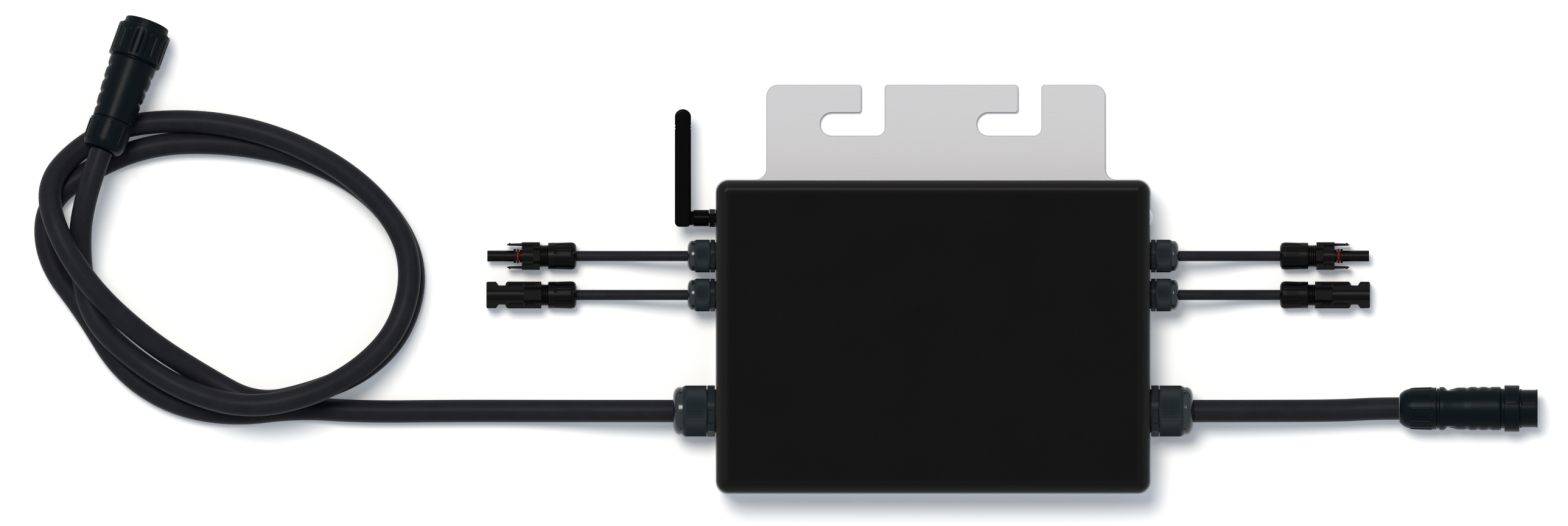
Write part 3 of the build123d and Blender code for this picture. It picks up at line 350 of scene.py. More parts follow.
def powder_coat(name, colour):
    """Fine textured coat: a grain of small pits over a slow unevenness, dull and hardly shiny.

    It is rougher along the cover's rounded rim, and lighter there in a painted highlight that
    stands in for
    the light the rim reflects: the share is 1 - d / rim width, squared for the colour, where d is
    the distance in from the nearest of the four sides.
    """
    rim_width = 0.009
    finish = Finish(name, Specular_IOR_Level=0.045)
    grain = finish.noise(1500.0, 3.0)
    cloud = finish.noise(24.0, 3.0)
    shade = (grain * 0.7 + cloud * 0.3).clamped(0.3, 0.7)
    low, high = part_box("cover")
    middle = (low + high) / 2
    x, y, _ = finish.axes()
    past_x = abs(x - middle.x) - (high.x - middle.x)
    past_y = abs(y - middle.y) - (high.y - middle.y)
    rim_highlight_share = past_x.or_more(past_y).clamped(-rim_width, 0.0)
    coat = finish.shades(shade, colour, 0.72, 1.28)
    return finish.join(
        # Painted highlight: towards the rounded rim the coat's colour rises to 10.5 times itself,
        # standing in for the rim's reflection
        Base_Color=finish.blend(rim_highlight_share * rim_highlight_share, coat, scaled(colour, 10.5)),
        Roughness=rim_highlight_share * 0.22 + cloud * 0.05 + 0.18,
        Normal=finish.bump(grain, 0.00009, 0.35),
    )


def rolled_sheet(name, colour):
    """Satin sheet: long faint rolling lines along X over a soft mottle."""
    finish = Finish(name, Metallic=0.45, Specular_IOR_Level=0.4)
    lines = finish.noise(60.0, 4.0, (1.0, 28.0, 28.0))
    mottle = finish.noise(55.0, 4.0)
    shade = (lines * 0.6 + mottle * 0.4).clamped(0.25, 0.75)
    return finish.join(
        Base_Color=finish.shades(shade, colour, 0.95, 1.05),
        Roughness=shade * 0.12 + 0.38,
        Normal=finish.bump(lines, 0.00002, 0.5),
    )


def moulded(name, colour, roughness, gloss, grain_scale=1400.0, relief=0.00003):
    """Moulded plastic: slight flow marks in its colour and a fine skin."""
    finish = Finish(name, Specular_IOR_Level=gloss)
    flow = finish.noise(130.0, 3.0)
    grain = finish.noise(grain_scale, 2.0)
    shade = (flow * 0.65 + grain * 0.35).clamped(0.25, 0.75)
    return finish.join(
        Base_Color=finish.shades(shade, colour, 0.84, 1.16),
        Roughness=shade * 0.1 + (roughness - 0.05),
        Normal=finish.bump(grain, relief, 0.4),
    )


def gland_nylon(name, colour):
    """Moulded nylon whose domes are polished: the piece's polish attribute lowers roughness."""
    finish = Finish(name, Specular_IOR_Level=0.12, Coat_Roughness=0.06)
    flow = finish.noise(160.0, 3.0)
    grain = finish.noise(1500.0, 2.0)
    shade = flow.clamped(0.3, 0.7)
    polish = finish.node("ShaderNodeAttribute", {"attribute_name": "polish"}, None, "Fac")
    return finish.join(
        Base_Color=finish.shades(shade, colour, 0.85, 1.15),
        Roughness=0.46 + flow * 0.06 - polish * 0.3,
        Coat_Weight=polish * 0.45,
        Normal=finish.bump(grain * (1.0 - polish), 0.00003, 0.5),
    )


def cable_sheath(name, colour):
    """Extruded sheath: cloudy matt skin with faint scuffs."""
    finish = Finish(name, Specular_IOR_Level=0.045)
    cloud = finish.noise(85.0, 4.0)
    grain = finish.noise(1700.0, 2.0)
    scuff = finish.noise(420.0, 5.0).clamped(0.56, 0.72)
    shade = (cloud * 0.6 + grain * 0.4).clamped(0.3, 0.7)
    base = finish.shades(shade, colour, 0.8, 1.2)
    return finish.join(
        Base_Color=finish.blend(scuff * 0.3, base, scaled(colour, 1.7)),
        Roughness=cloud * 0.12 + 0.36,
        Normal=finish.bump(grain * 0.4 + cloud * 0.6, 0.00010, 0.5),
    )


def plated(name, colour, roughness=0.28):
    """Plated metal: fine turning marks and a slow change of tone."""
    finish = Finish(name, Metallic=1.0)
    marks = finish.noise(900.0, 3.0, (1.0, 1.0, 6.0))
    tone = finish.noise(90.0, 3.0).clamped(0.3, 0.7)
    return finish.join(
        Base_Color=finish.shades(tone, colour, 0.88, 1.1),
        Roughness=marks * 0.14 + (roughness - 0.07),
        Normal=finish.bump(marks, 0.00002, 0.4),
    )


def wound_wire(name, colour):
    """Enamelled wire laid in turns: fine ridges round the coil."""
    finish = Finish(name, Metallic=0.8)
    ridges = finish.node(
        "ShaderNodeTexWave",
        {"bands_direction": "Z"},
        {"Vector": finish.place(), "Scale": 320.0, "Distortion": 0.6},
        "Fac",
    )
    return finish.join(
        Base_Color=finish.shades(ridges, colour, 0.55, 1.1),
        Roughness=ridges * 0.1 + 0.28,
        Normal=finish.bump(ridges, 0.0003, 0.7),
    )


def circuit_board(name, colour):
    """Solder resist over a pattern of tracks: cells with thin lighter seams."""
    finish = Finish(name, Specular_IOR_Level=0.45)
    cells = finish.node(
        "ShaderNodeTexVoronoi",
        {"feature": "DISTANCE_TO_EDGE"},
        {"Vector": finish.place(), "Scale": 260.0},
        "Distance",
    )
    tracks = cells.clamped(0.03, 0.09)
    return finish.join(
        Base_Color=finish.shades(tracks, colour, 1.5, 0.9),
        Roughness=tracks * 0.1 + 0.3,
        Normal=finish.bump(1.0 - tracks, 0.00005, 0.6),
    )


def frosted_lens(name, colour):
    """Frosted lens: a milky body with a soft moulded skin."""
    finish = Finish(name, Specular_IOR_Level=0.5, Subsurface_Weight=0.25, Subsurface_Scale=0.003)
    milk = finish.noise(260.0, 3.0)
    shade = milk.clamped(0.3, 0.7)
    return finish.join(
        Base_Color=finish.shades(shade, colour, 0.92, 1.06),
        Roughness=milk * 0.12 + 0.16,
        Normal=finish.bump(milk, 0.00003, 0.4),
    )


FINISHES = {}  # material of each slot


def make_finishes():
    """Material for each of the record's slots."""
    colours = bpy.context.scene.inverter_finishes
    return {
        "bracket_metal": rolled_sheet("satin_sheet", colours.sheet),
        "cover_coat": powder_coat("textured_coat", colours.coat),
        "black_rubber": moulded("black_rubber", (0.012, 0.012, 0.012), 0.7, 0.2, 900.0, 0.00006),
        "screw_steel": plated("plated_steel", (0.55, 0.55, 0.56)),
        "spacer_brass": plated("plated_brass", (0.62, 0.5, 0.24)),
        "circuit_board": circuit_board("solder_resist", (0.015, 0.12, 0.045)),
        "ferrite": moulded("ferrite", (0.035, 0.035, 0.038), 0.75, 0.25, 700.0, 0.0001),
        "copper_wire": wound_wire("enamelled_copper", (0.62, 0.27, 0.1)),
        "component_plastic": moulded("component_case", (0.03, 0.03, 0.035), 0.45, 0.35),
        "gland_nylon": gland_nylon("gland_nylon", colours.nylon),
        "connector_plastic": moulded("housing_plastic", colours.housing, 0.32, 0.06),
        "coupling_plastic": moulded("coupling_plastic", colours.coupling, 0.34, 0.05),
        "seal_red": moulded("red_silicone", (0.13, 0.005, 0.003), 0.4, 0.15),
        "cable_sheath": cable_sheath("cable_sheath", colours.sheath),
        "antenna_plastic": moulded(
            "antenna_shell", (0.0008, 0.0008, 0.0009), 0.22, 0.025, 1200.0, 0.00001
        ),
        "connector_metal": plated("black_plating", (0.0018, 0.0020, 0.0022), 0.42),
        "lens_plastic": frosted_lens("frosted_lens", (0.68, 0.93, 1.0)),
    }


def dress(piece, slot):
    """Give a piece its slot's material and name the slot."""
    piece.data.materials.clear()
    piece.data.materials.append(FINISHES[slot])
    return piece


# ---- surfaces ----


def rounded(corners, step, arc=4):
    """Closed outline of (station, radius, rounding) corners, in metres, as an (n, 2) array.

    A corner C with rounding d becomes the parabola (1-s)(1-s)A + 2s(1-s)C + ssB in arc steps,
    where A and B lie d from C on its two runs; a run longer than step is cut evenly.
    """
    corners = np.array(corners, float)
    points, reach = corners[:, :2], corners[:, 2]
    to_next = np.roll(points, -1, 0) - points
    run = np.linalg.norm(to_next, axis=1)
    reach = np.minimum(reach, 0.45 * np.minimum(run, np.roll(run, 1)))
    ahead = points + to_next * (reach / run)[:, None]
    behind = points - np.roll(to_next, 1, 0) * (reach / np.roll(run, 1))[:, None]
    share = np.linspace(0, 1, arc + 1)[:, None]
    pieces = []
    for start, corner, end, left in zip(behind, points, ahead, reach):
        if left > 0:
            bend = start * (1 - share) ** 2 + 2 * corner * share * (1 - share) + end * share**2
            pieces.append(bend)
        else:
            pieces.append(corner[None])
    cut = []
    for piece, following in zip(pieces, pieces[1:] + pieces[:1]):
        gap = np.linalg.norm(following[0] - piece[-1])
        count = max(1, int(np.ceil(gap / step)))
        between = np.linspace(piece[-1], following[0], count + 1)[1:-1]
        cut += [piece, between]
    return np.concatenate(cut)


def smooth_step(x, low, high):
    """0 below low, 1 above high, and 3tt - 2ttt between, t being the share of the way."""
    t = np.clip((x - low) / (high - low), 0, 1)
    return t * t * (3 - 2 * t)


def swell(x, low, full, fade, high):
    """A smooth step up from low to full, times a smooth step down from fade to high."""
    return smooth_step(x, low, full) * (1 - smooth_step(x, fade, high))


def around(count):
    """Evenly spread angles of one full turn."""
    return np.arange(count) * FULL_TURN / count


def angle_from(angle, middle=0.0):
    """Signed angle from a middle, between minus and plus half a turn."""
    return (angle - middle + np.pi) % FULL_TURN - np.pi


def from_nearest(angle, count):
    """How far an angle is from the nearest of count evenly spread ones."""
    return np.abs(angle_from(angle * count)) / count


def turned(outline, count):
    """Stations and radii of an outline, as columns, and count angles round it, as a row."""
    return outline[:, :1], outline[:, 1:], around(count)[None]


class Turn:
    """Frame for turned pieces: origin, axis, the way up and the side at right angles to both."""

    def __init__(self, origin, axis, side):
        self.origin = np.array(origin, float)
        self.axis = np.array(axis, float) / np.linalg.norm(axis)
        side = np.array(side, float) - np.dot(side, self.axis) * self.axis
        self.side = side / np.linalg.norm(side)
        self.up = np.cross(self.axis, self.side)
        if self.up[2] < 0:
            self.up = -self.up

    def points(self, station, radius, angle):
        """Origin + station along the axis + radius (cos angle up + sin angle side)."""
        station, radius, angle = np.broadcast_arrays(station, radius, angle)
        across = np.cos(angle)[..., None] * self.up + np.sin(angle)[..., None] * self.side
        return self.origin + station[..., None] * self.axis + radius[..., None] * across


def wall_turn(side, y):
    """Frame on a side wall of the case, pointing out of it."""
    wall = WALL_LEFT if side < 0 else WALL_RIGHT
    return Turn((wall, y, AXIS_HEIGHT), (side, 0, 0), (0, 1, 0))


def make_piece(name, points, body, node, slot, polish=None, sharp=32.0):
    """Mesh from a grid of points that closes on itself both ways, riding on a body.

    Row i and column j give the four-sided face (i, j), (i+1, j), (i+1, j+1), (i, j+1), all
    taken round; the faces are turned over if the enclosed volume comes out negative. An edge
    that bends by more than sharp degrees stays sharp. polish is kept at each point for the
    finish to read.
    """
    rows, columns = points.shape[:2]
    corner = np.arange(rows * columns).reshape(rows, columns)
    below = np.roll(corner, -1, 0)
    ring = [corner, below, np.roll(below, -1, 1), np.roll(corner, -1, 1)]
    faces = np.stack(ring, -1).reshape(-1, 4)
    flat = points.reshape(-1, 3)
    a, b, c, d = (flat[faces[:, k]] - flat.mean(0) for k in range(4))
    volume = np.einsum("ij,ij->i", a, np.cross(b, c) + np.cross(c, d)).sum()
    if volume < 0:
        faces = faces[:, ::-1]
    mesh = bpy.data.meshes.new(name)
    mesh.from_pydata(flat.tolist(), [], faces.tolist())
    mesh.polygons.foreach_set("use_smooth", np.ones(len(faces), bool))
    mesh.set_sharp_from_angle(angle=np.radians(sharp))
    if polish is not None:
        values = np.broadcast_to(polish, (rows, columns)).astype(np.float32)
        mesh.attributes.new("polish", "FLOAT", "POINT").data.foreach_set("value", values.ravel())
    piece = bpy.data.objects.new(name, mesh)
    bpy.context.scene.collection.objects.link(piece)
    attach(piece, body)
    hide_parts(node)
    return dress(piece, slot)


# ---- glands ----


def gland_cap(name, turn, node, size, ribs, depth):
    """Clamping cap. radius = outline - depth (0.5 - 0.5 cos(ribs angle)) on the skirt
    - notch depth in eight small notches on the band before the dome. The dome is a quarter of
    an ellipse from the band to the nose, and it is polished."""
    columns_per_rib, notches, edge = 6, 8, 0.00012
    swing = np.radians(np.arange(6, 91, 7))
    long_half = size["nose"] - size["notch_end"]
    short_half = size["band"] - size["nose_radius"]
    dome = np.stack(
        [
            size["notch_end"] + long_half * np.sin(swing),
            size["nose_radius"] + short_half * np.cos(swing),
            0 * swing,
        ],
        -1,
    )
    corners = [
        (size["start"], size["bore_skirt"], 0.0001),
        (size["start"], size["skirt"], 0.0003),
        (size["skirt_end"], size["skirt"], 0.0003),
        (size["chamfer_end"], size["band"] + 0.0001, 0.00015),
        (size["notch_start"], size["band"], 0),
        (size["notch_start"] + edge, size["band"], 0),
        (size["notch_end"] - edge, size["band"] - 0.00005, 0),
        (size["notch_end"], size["band"] - 0.00005, 0),
        *dome,
        (size["nose"], size["bore"] + 0.0006, 0),
        (size["nose"] - 0.0006, size["bore"], 0),
        (size["seat"], size["bore"], 0),
        (size["seat"], size["bore_skirt"], 0),
    ]
    station, radius, angle = turned(rounded(corners, 0.0013), ribs * columns_per_rib)
    start, stop = size["start"], size["skirt_end"]
    along = swell(station, start, start + 0.0005, stop - 0.0006, stop + 0.0008)
    on_skirt = along * (radius > size["skirt"] - 0.0008)
    ripple = depth * size["rib_share"] * (0.5 - 0.5 * np.cos(ribs * angle)) * on_skirt
    in_band = (station > size["notch_start"] + edge / 2) * (station < size["notch_end"] - edge / 2)
    in_band = in_band * (radius > size["band"] - 0.0006)
    across = from_nearest(angle, notches) * size["band"]
    notch = size["notch_depth"] * in_band * (across < size["notch_half"])
    past_chamfer = smooth_step(station, size["chamfer_end"], size["chamfer_end"] + 0.0004)
    polish = past_chamfer * (radius > size["bore"] + 0.0004)
    shape = turn.points(station, radius - ripple - notch, angle)
    return make_piece(name, shape, "case", node, "gland_nylon", polish)


# Stations out from the wall and radii. rib_share is the share of the rib depth.
LARGE_CAP = dict(
    rib_share=1.0,
    start=0.0062,
    skirt=0.0165,
    skirt_end=0.0199,
    chamfer_end=0.0216,
    band=0.0156,
    notch_start=0.0220,
    notch_end=0.0236,
    notch_depth=0.0005,
    notch_half=0.0015,
    nose=0.0280,
    nose_radius=0.0098,
    bore=0.0077,
    bore_skirt=0.0142,
    seat=0.0186,
)
SMALL_CAP = dict(
    rib_share=0.85,
    start=0.0042,
    skirt=0.0106,
    skirt_end=0.0130,
    chamfer_end=0.0140,
    band=0.0099,
    notch_start=0.0143,
    notch_end=0.0153,
    notch_depth=0.0004,
    notch_half=0.0009,
    nose=0.0186,
    nose_radius=0.0056,
    bore=0.0037,
    bore_skirt=0.0091,
    seat=0.0124,
)
ROUND, SIX_SIDED, WINDOWED = range(3)


def gland_body(name, turn, node, size):
    """Flange and necks. The flange's radius is the smaller of apothem / cos(a) and
    cut / cos(30 degrees - a), a being the angle from the nearest face's middle; two opposite
    faces have a shallow window. A corner's radius is its own where it is round, and added to
    the flange's where it is six-sided."""
    degrees = [-25.4, -25, -21, -17.9, -17.3, -12, -6, 0, 6, 12, 17.3, 17.9, 21, 25, 25.4, 30]
    angle = np.radians(np.add.outer(60 * np.arange(6), degrees).reshape(1, -1))
    tilt, window_half = np.radians(-14.5), np.radians(17.6)
    rear, edge = -0.011, 0.00005
    window_start, window_stop = size["window"]
    corners = [
        (rear, size["thread"], ROUND),
        (size["flange"], size["thread"], ROUND),
        (size["flange"], -0.0004, SIX_SIDED),
        (size["flange"] + 0.0003, 0, SIX_SIDED),
        (window_start - edge, 0, SIX_SIDED),
        (window_start + edge, 0, WINDOWED),
        (window_stop - edge, 0, WINDOWED),
        (window_stop + edge, 0, SIX_SIDED),
        (size["flange_end"] - 0.0003, 0, SIX_SIDED),
        (size["flange_end"], -0.0004, SIX_SIDED),
        (size["flange_end"], size["neck"], ROUND),
        (size["neck_end"], size["neck"], ROUND),
        (size["neck_end"], size["throat"], ROUND),
        (size["step"], size["throat"], ROUND),
        (size["step"], size["hole"], ROUND),
        (rear, size["hole"], ROUND),
    ]
    station, radius, kind = np.array(corners).T[..., None]
    from_face = from_nearest(angle, 6)
    corner_cut = size["cut"] / np.cos(np.pi / 6 - from_face)
    hexagon = np.minimum(size["apothem"] / np.cos(from_face), corner_cut)
    opposite = np.round(angle / (np.pi / 3)) % 3 == 0
    sunk = (size["apothem"] - size["window_depth"]) / np.cos(from_face)
    window = np.where((from_face < window_half) * opposite, sunk, hexagon)
    flange = np.where(kind == WINDOWED, window, hexagon + radius)
    shape = turn.points(station, np.where(kind == ROUND, radius, flange), angle + tilt)
    return make_piece(name, shape, "case", node, "gland_nylon", polish=0.0, sharp=25.0)


# Stations out from the wall and radii. cut is the radius at the flange's flattened corners.
LARGE_BODY = dict(
    thread=0.01245,
    flange=0.0009,
    flange_end=0.0059,
    apothem=0.01525,
    cut=0.0168,
    window=(0.0018, 0.0052),
    window_depth=0.0012,
    neck=0.0140,
    neck_end=0.0180,
    throat=0.0120,
    step=0.0100,
    hole=0.0090,
)
SMALL_BODY = dict(
    thread=0.00795,
    flange=0.0008,
    flange_end=0.0039,
    apothem=0.00975,
    cut=0.01075,
    window=(0.0013, 0.0031),
    window_depth=0.0008,
    neck=0.0089,
    neck_end=0.0120,
    throat=0.0070,
    step=0.0070,
    hole=0.0050,
)


# ---- module connectors ----


def lead_nut(name, turn, node, ribs, height):
    """Cap nut. radius = outline - height outside the ribs, between the rounded rear and the
    smooth collar; a rib spans 17 degrees and falls away over 2 degrees."""
    columns_per_rib, rib_half, rib_foot = 24, np.radians(8.5), np.radians(10.5)
    outline = rounded(
        [
            (0.0042, 0.0074, 0),
            (0.0042, 0.0058, 0),
            (0.0026, 0.0035, 0),
            (0.0003, 0.0035, 0.0002),
            (0.0, 0.0042, 0.0003),
            (0.0, 0.0062, 0.0012),
            (0.0012, 0.0086, 0.0018),
            (0.0034, 0.00905, 0.0006),
            (0.0138, 0.0087, 0.0002),
            (0.0183, 0.0086, 0.0004),
            (0.0183, 0.0074, 0),
        ],
        0.0009,
    )
    station, radius, angle = turned(outline, ribs * columns_per_rib)
    valley = smooth_step(from_nearest(angle, ribs), rib_half, rib_foot)
    along = swell(station, 0.0010, 0.0022, 0.0134, 0.0140)
    outside = radius > 0.0066
    shape = turn.points(station, radius - height * valley * along * outside, angle)
    return make_piece(name, shape, "case", node, "connector_plastic")


# ---- grid connectors ----


def coupling_nut(name, turn, node, corners, ribs, height, rib_span):
    """Cap nut. radius = outline + height on each rib, which fades out at the rib's ends."""
    columns_per_rib, grip_radius, rib_half, rib_foot = 30, 0.0135, 0.00045, 0.00085
    station, radius, angle = turned(rounded(corners, 0.0010, 6), ribs * columns_per_rib)
    rib = 1 - smooth_step(from_nearest(angle, ribs) * grip_radius, rib_half, rib_foot)
    start, stop = rib_span
    along = swell(station, start, start + 0.0008, stop - 0.0006, stop)
    outside = radius > 0.0095
    shape = turn.points(station, radius + height * rib * along * outside, angle)
    return make_piece(name, shape, "case", node, "coupling_plastic")


def coupling_body(name, turn, node, corners, dips, key=None):
    """Sleeve with finger dips on its two sides, each given by its station, depth and width.

    radius = outline - sum(depth exp(-((station - dip) / width) squared)) where |sin angle| is
    near 1, + the key's height on a strip along the front sleeve.
    """
    columns = 288
    station, radius, angle = turned(rounded(corners, 0.0008, 5), columns)
    dip, depth, width = np.array(dips).T
    wave = (depth * np.exp(-(((station[..., None] - dip) / width) ** 2))).sum(-1)
    sides = smooth_step(np.abs(np.sin(angle)), 0.80, 0.97)
    outside = radius > 0.0125
    moved = radius - wave * sides * outside
    if key is not None:
        start, stop, half, fade = key["start"], key["stop"], key["half_width"], 0.0003
        across = np.abs(angle_from(angle, KEY_ANGLE)) * key["inner"]
        strip = 1 - smooth_step(across, half, half + fade)
        along = swell(station, start, start + fade, stop - fade, stop)
        moved = moved + key["height"] * strip * along * (radius > key["inner"])
    shape = turn.points(station, moved, angle)
    return make_piece(name, shape, "case", node, "coupling_plastic")


def ring_outline(start, stop, inner, outer, step):
    """Outline of a ring with rounded outer edges."""
    edge = 0.0006
    corners = [(start, inner, 0), (start, outer, edge), (stop, outer, edge), (stop, inner, 0)]
    return rounded(corners, step)


def keyed_collar(name, turn, body, node, start, stop, inner, outer):
    """Coupling collar: a plain ring with a raised key, radius = outline + 0.5 mm on a strip
    about 4.2 mm wide."""
    height, half, foot, columns = 0.0005, 0.0021, 0.0025, 360
    outline = ring_outline(start, stop, inner, outer, 0.0010)
    station, radius, angle = turned(outline, columns)
    strip = 1 - smooth_step(np.abs(angle_from(angle, KEY_ANGLE)) * outer, half, foot)
    along = swell(station, start + 0.0004, start + 0.0008, stop - 0.0008, stop - 0.0004)
    outside = radius > outer - 0.0007
    shape = turn.points(station, radius + height * strip * along * outside, angle)
    return make_piece(name, shape, body, node, "coupling_plastic")


def grip_ring(name, turn, body, node, start, stop, inner, outer, grips):
    """Coupling ring with grooves: radius = outline - 0.9 mm max(0, cos(grips angle)) squared."""
    depth, columns_per_grip = 0.0009, 14
    outline = ring_outline(start, stop, inner, outer, 0.0012)
    station, radius, angle = turned(outline, grips * columns_per_grip)
    along = swell(station, start + 0.0018, start + 0.0030, stop - 0.0045, stop - 0.0032)
    outside = radius > outer - 0.0007
    groove = depth * np.maximum(0, np.cos(grips * angle)) ** 2 * along * outside
    shape = turn.points(station, radius - groove, angle)
    return make_piece(name, shape, body, node, "coupling_plastic")


def in_mm(*corners):
    """Corners or route points given in millimetres, in metres."""
    return [tuple(value * MM for value in corner) for corner in corners]


# ---- cords ----

TRUNK_ROUTE = in_mm(
    (-168, -78.6, 21.5),
    (-200, -78.6, 21.5),
    (-255, -78.6, 8.0),
    (-310, -78.5, 7.35),
    (-368, -79.2, 7.35),
    (-411, -76.4, 7.35),
    (-452, -81.6, 7.35),
    (-491.4, -74.6, 7.35),
    (-525, -52.3, 7.35),
    (-547.2, -14.8, 7.35),
    (-572.8, 18.5, 7.35),
    (-574, 54.0, 7.35),
    (-547.5, 76.3, 7.35),
    (-506, 93.8, 7.35),
    (-460, 95.2, 7.35),
    (-412, 87.3, 7.35),
    (-370.5, 68.8, 7.35),
    (-342.5, 38.5, 7.35),
    (-333, 6.5, 7.35),
    (-343.4, -28.8, 9.0),
    (-367.1, -52.8, 15.0),
    (-400, -66.6, 21.0),
    (-437, -75.0, 21.2),
    (-471.7, -55.9, 15.5),
    (-508.2, -32.6, 26.4),
    (-544, 0.0, 37.0),
    (-566.3, 36.0, 36.5),
    (-573.2, 67.0, 22.3),
    (-554.6, 89.6, 8.5),
    (-524, 107.0, 7.35),
    (-470, 109.5, 13.5),
    (-420, 98.2, 22.5),
    (-375, 74.0, 22.5),
    (-344.7, 41.5, 22.1),
    (-336.2, 9.5, 22.1),
    (-345.4, -25.8, 24.0),
    (-369.1, -51.3, 31.0),
    (-402, -69.0, 37.5),
    (-442, -77.0, 37.0),
    (-480.7, -67.3, 26.0),
    (-514.4, -47.3, 21.8),
    (-544, -19.3, 23.9),
    (-551.7, 18.0, 19.0),
    (-549.8, 56.3, 37.5),
    (-537.2, 89.4, 33.2),
)
RIGHT_TAIL_ROUTE = in_mm(
    (168, -78.6, 21.5),
    (204, -78.6, 21.5),
    (262, -78.4, 15.2),
    (286, -77, 15.2),
    (301.2, -77, 15.2),
)


def lead_route(side, y):
    """A module lead from its gland down to its connector, 24 % of the way level at each end."""
    start = (WALL_LEFT if side < 0 else WALL_RIGHT) + side * SMALL_CAP["nose"]
    stop = PV_REAR_LEFT if side < 0 else PV_REAR_RIGHT
    level = 0.24 * (stop - start)
    return [
        (start, y, AXIS_HEIGHT),
        (start + level, y, AXIS_HEIGHT),
        (stop - level, y, PV_AXIS_HEIGHT),
        (stop, y, PV_AXIS_HEIGHT),
    ]


# Side, Y, CAD lead and CAD connector of each module lead
LEADS = {
    "lead_left_upper": (-1, PV_UPPER_Y, "pv_lead_left_upper", "pv_male_left"),
    "lead_left_lower": (-1, PV_LOWER_Y, "pv_lead_left_lower", "pv_female_left"),
    "lead_right_upper": (1, PV_UPPER_Y, "pv_lead_right_upper", "pv_male_right"),
    "lead_right_lower": (1, PV_LOWER_Y, "pv_lead_right_lower", "pv_female_right"),
}


def make_cord(name, route, diameter, node):
    """Round cord: an order 3 NURBS line with the route's points as its control points.

    The half diameter is each point's radius, which scales a bevel of 1 m, so that the
    object's box is the tube's own.
    """
    curve = bpy.data.curves.new(name, "CURVE")
    curve.dimensions = "3D"
    line = curve.splines.new("NURBS")
    line.points.add(len(route) - 1)
    line.points.foreach_set("co", [value for point in route for value in (*point, 1.0)])
    line.points.foreach_set("radius", [diameter / 2] * len(route))
    line.order_u = 3
    line.use_endpoint_u = True
    line.resolution_u = 10
    curve.bevel_depth = 1.0
    curve.bevel_resolution = 7
    curve.use_fill_caps = True
    cord = bpy.data.objects.new(name, curve)
    bpy.context.scene.collection.objects.link(cord)
    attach(cord, "case")
    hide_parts(node)
    return dress(cord, "cable_sheath")


# ---- operators ----


class INVERTER_OT_camera(bpy.types.Operator):
    """Set the camera straight above the object"""

    bl_idname = "inverter.camera"
    bl_label = "Camera"

    def execute(self, context):
        data = bpy.data.cameras.new("camera")
        data.type = "ORTHO"
        data.ortho_scale = VIEW_WIDTH
        data.clip_end = 20.0
        camera = bpy.data.objects.new("camera", data)
        camera.location = (*VIEW_MIDDLE, CAMERA_HEIGHT)
        context.scene.collection.objects.link(camera)
        context.scene.camera = camera
        return {"FINISHED"}


class INVERTER_OT_finishes(bpy.types.Operator):
    """Make the materials and give every part of the model its own"""

    bl_idname = "inverter.finishes"
    bl_label = "Finishes"

    def execute(self, context):
        FINISHES.clear()
        FINISHES.update(make_finishes())
        for part in frame["record"]["subparts"]:
            dress(frame["nodes"][part["node"]], part["material_slot"])
        return {"FINISHED"}


class INVERTER_OT_cords(bpy.types.Operator):
    """Lay the grid cable, its tail and the four module leads"""

    bl_idname = "inverter.cords"
    bl_label = "Cables"

    def execute(self, context):
        cables = context.scene.inverter_cables
        make_cord("grid_cable", TRUNK_ROUTE, cables.trunk, "ac_trunk_left")
        make_cord("grid_tail", RIGHT_TAIL_ROUTE, cables.trunk, "ac_lead_right")
        for name, (side, y, node, _) in LEADS.items():
            make_cord(name, lead_route(side, y), cables.lead, node)
        return {"FINISHED"}


class INVERTER_OT_large_glands(bpy.types.Operator):
    """Build the two grid cable glands"""

    bl_idname = "inverter.large_glands"
    bl_label = "Grid cable glands"

    def execute(self, context):
        glands = context.scene.inverter_glands
        for side, tag in ((-1, "left"), (1, "right")):
            turn = wall_turn(side, AC_Y)
            gland_cap(
                f"grid_gland_cap_{tag}",
                turn,
                f"large_gland_cap_{tag}",
                LARGE_CAP,
                glands.large_ribs,
                glands.rib_depth,
            )
            gland_body(f"grid_gland_body_{tag}", turn, "large_gland_bodies", LARGE_BODY)
        return {"FINISHED"}


class INVERTER_OT_small_glands(bpy.types.Operator):
    """Build the four module lead glands"""

    bl_idname = "inverter.small_glands"
    bl_label = "Module lead glands"

    def execute(self, context):
        glands = context.scene.inverter_glands
        for name, (side, y, _, _) in LEADS.items():
            turn = wall_turn(side, y)
            tag = name.replace("lead_", "")
            gland_cap(
                f"lead_gland_cap_{tag}",
                turn,
                "small_gland_caps",
                SMALL_CAP,
                glands.small_ribs,
                glands.rib_depth,
            )
            gland_body(f"lead_gland_body_{tag}", turn, "small_gland_bodies", SMALL_BODY)
        return {"FINISHED"}


class INVERTER_OT_lead_nuts(bpy.types.Operator):
    """Build the cap nuts of the four module connectors"""

    bl_idname = "inverter.lead_nuts"
    bl_label = "Module connector nuts"

    def execute(self, context):
        grips = context.scene.inverter_grips
        for name, (side, y, _, _) in LEADS.items():
            rear = PV_REAR_LEFT if side < 0 else PV_REAR_RIGHT
            turn = Turn((rear, y, PV_AXIS_HEIGHT), (side, 0, 0), (0, 1, 0))
            lead_nut(
                name.replace("lead_", "nut_"),
                turn,
                "pv_nuts_left" if side < 0 else "pv_nuts_right",
                grips.nut_ribs,
                grips.nut_rib_height,
            )
        return {"FINISHED"}


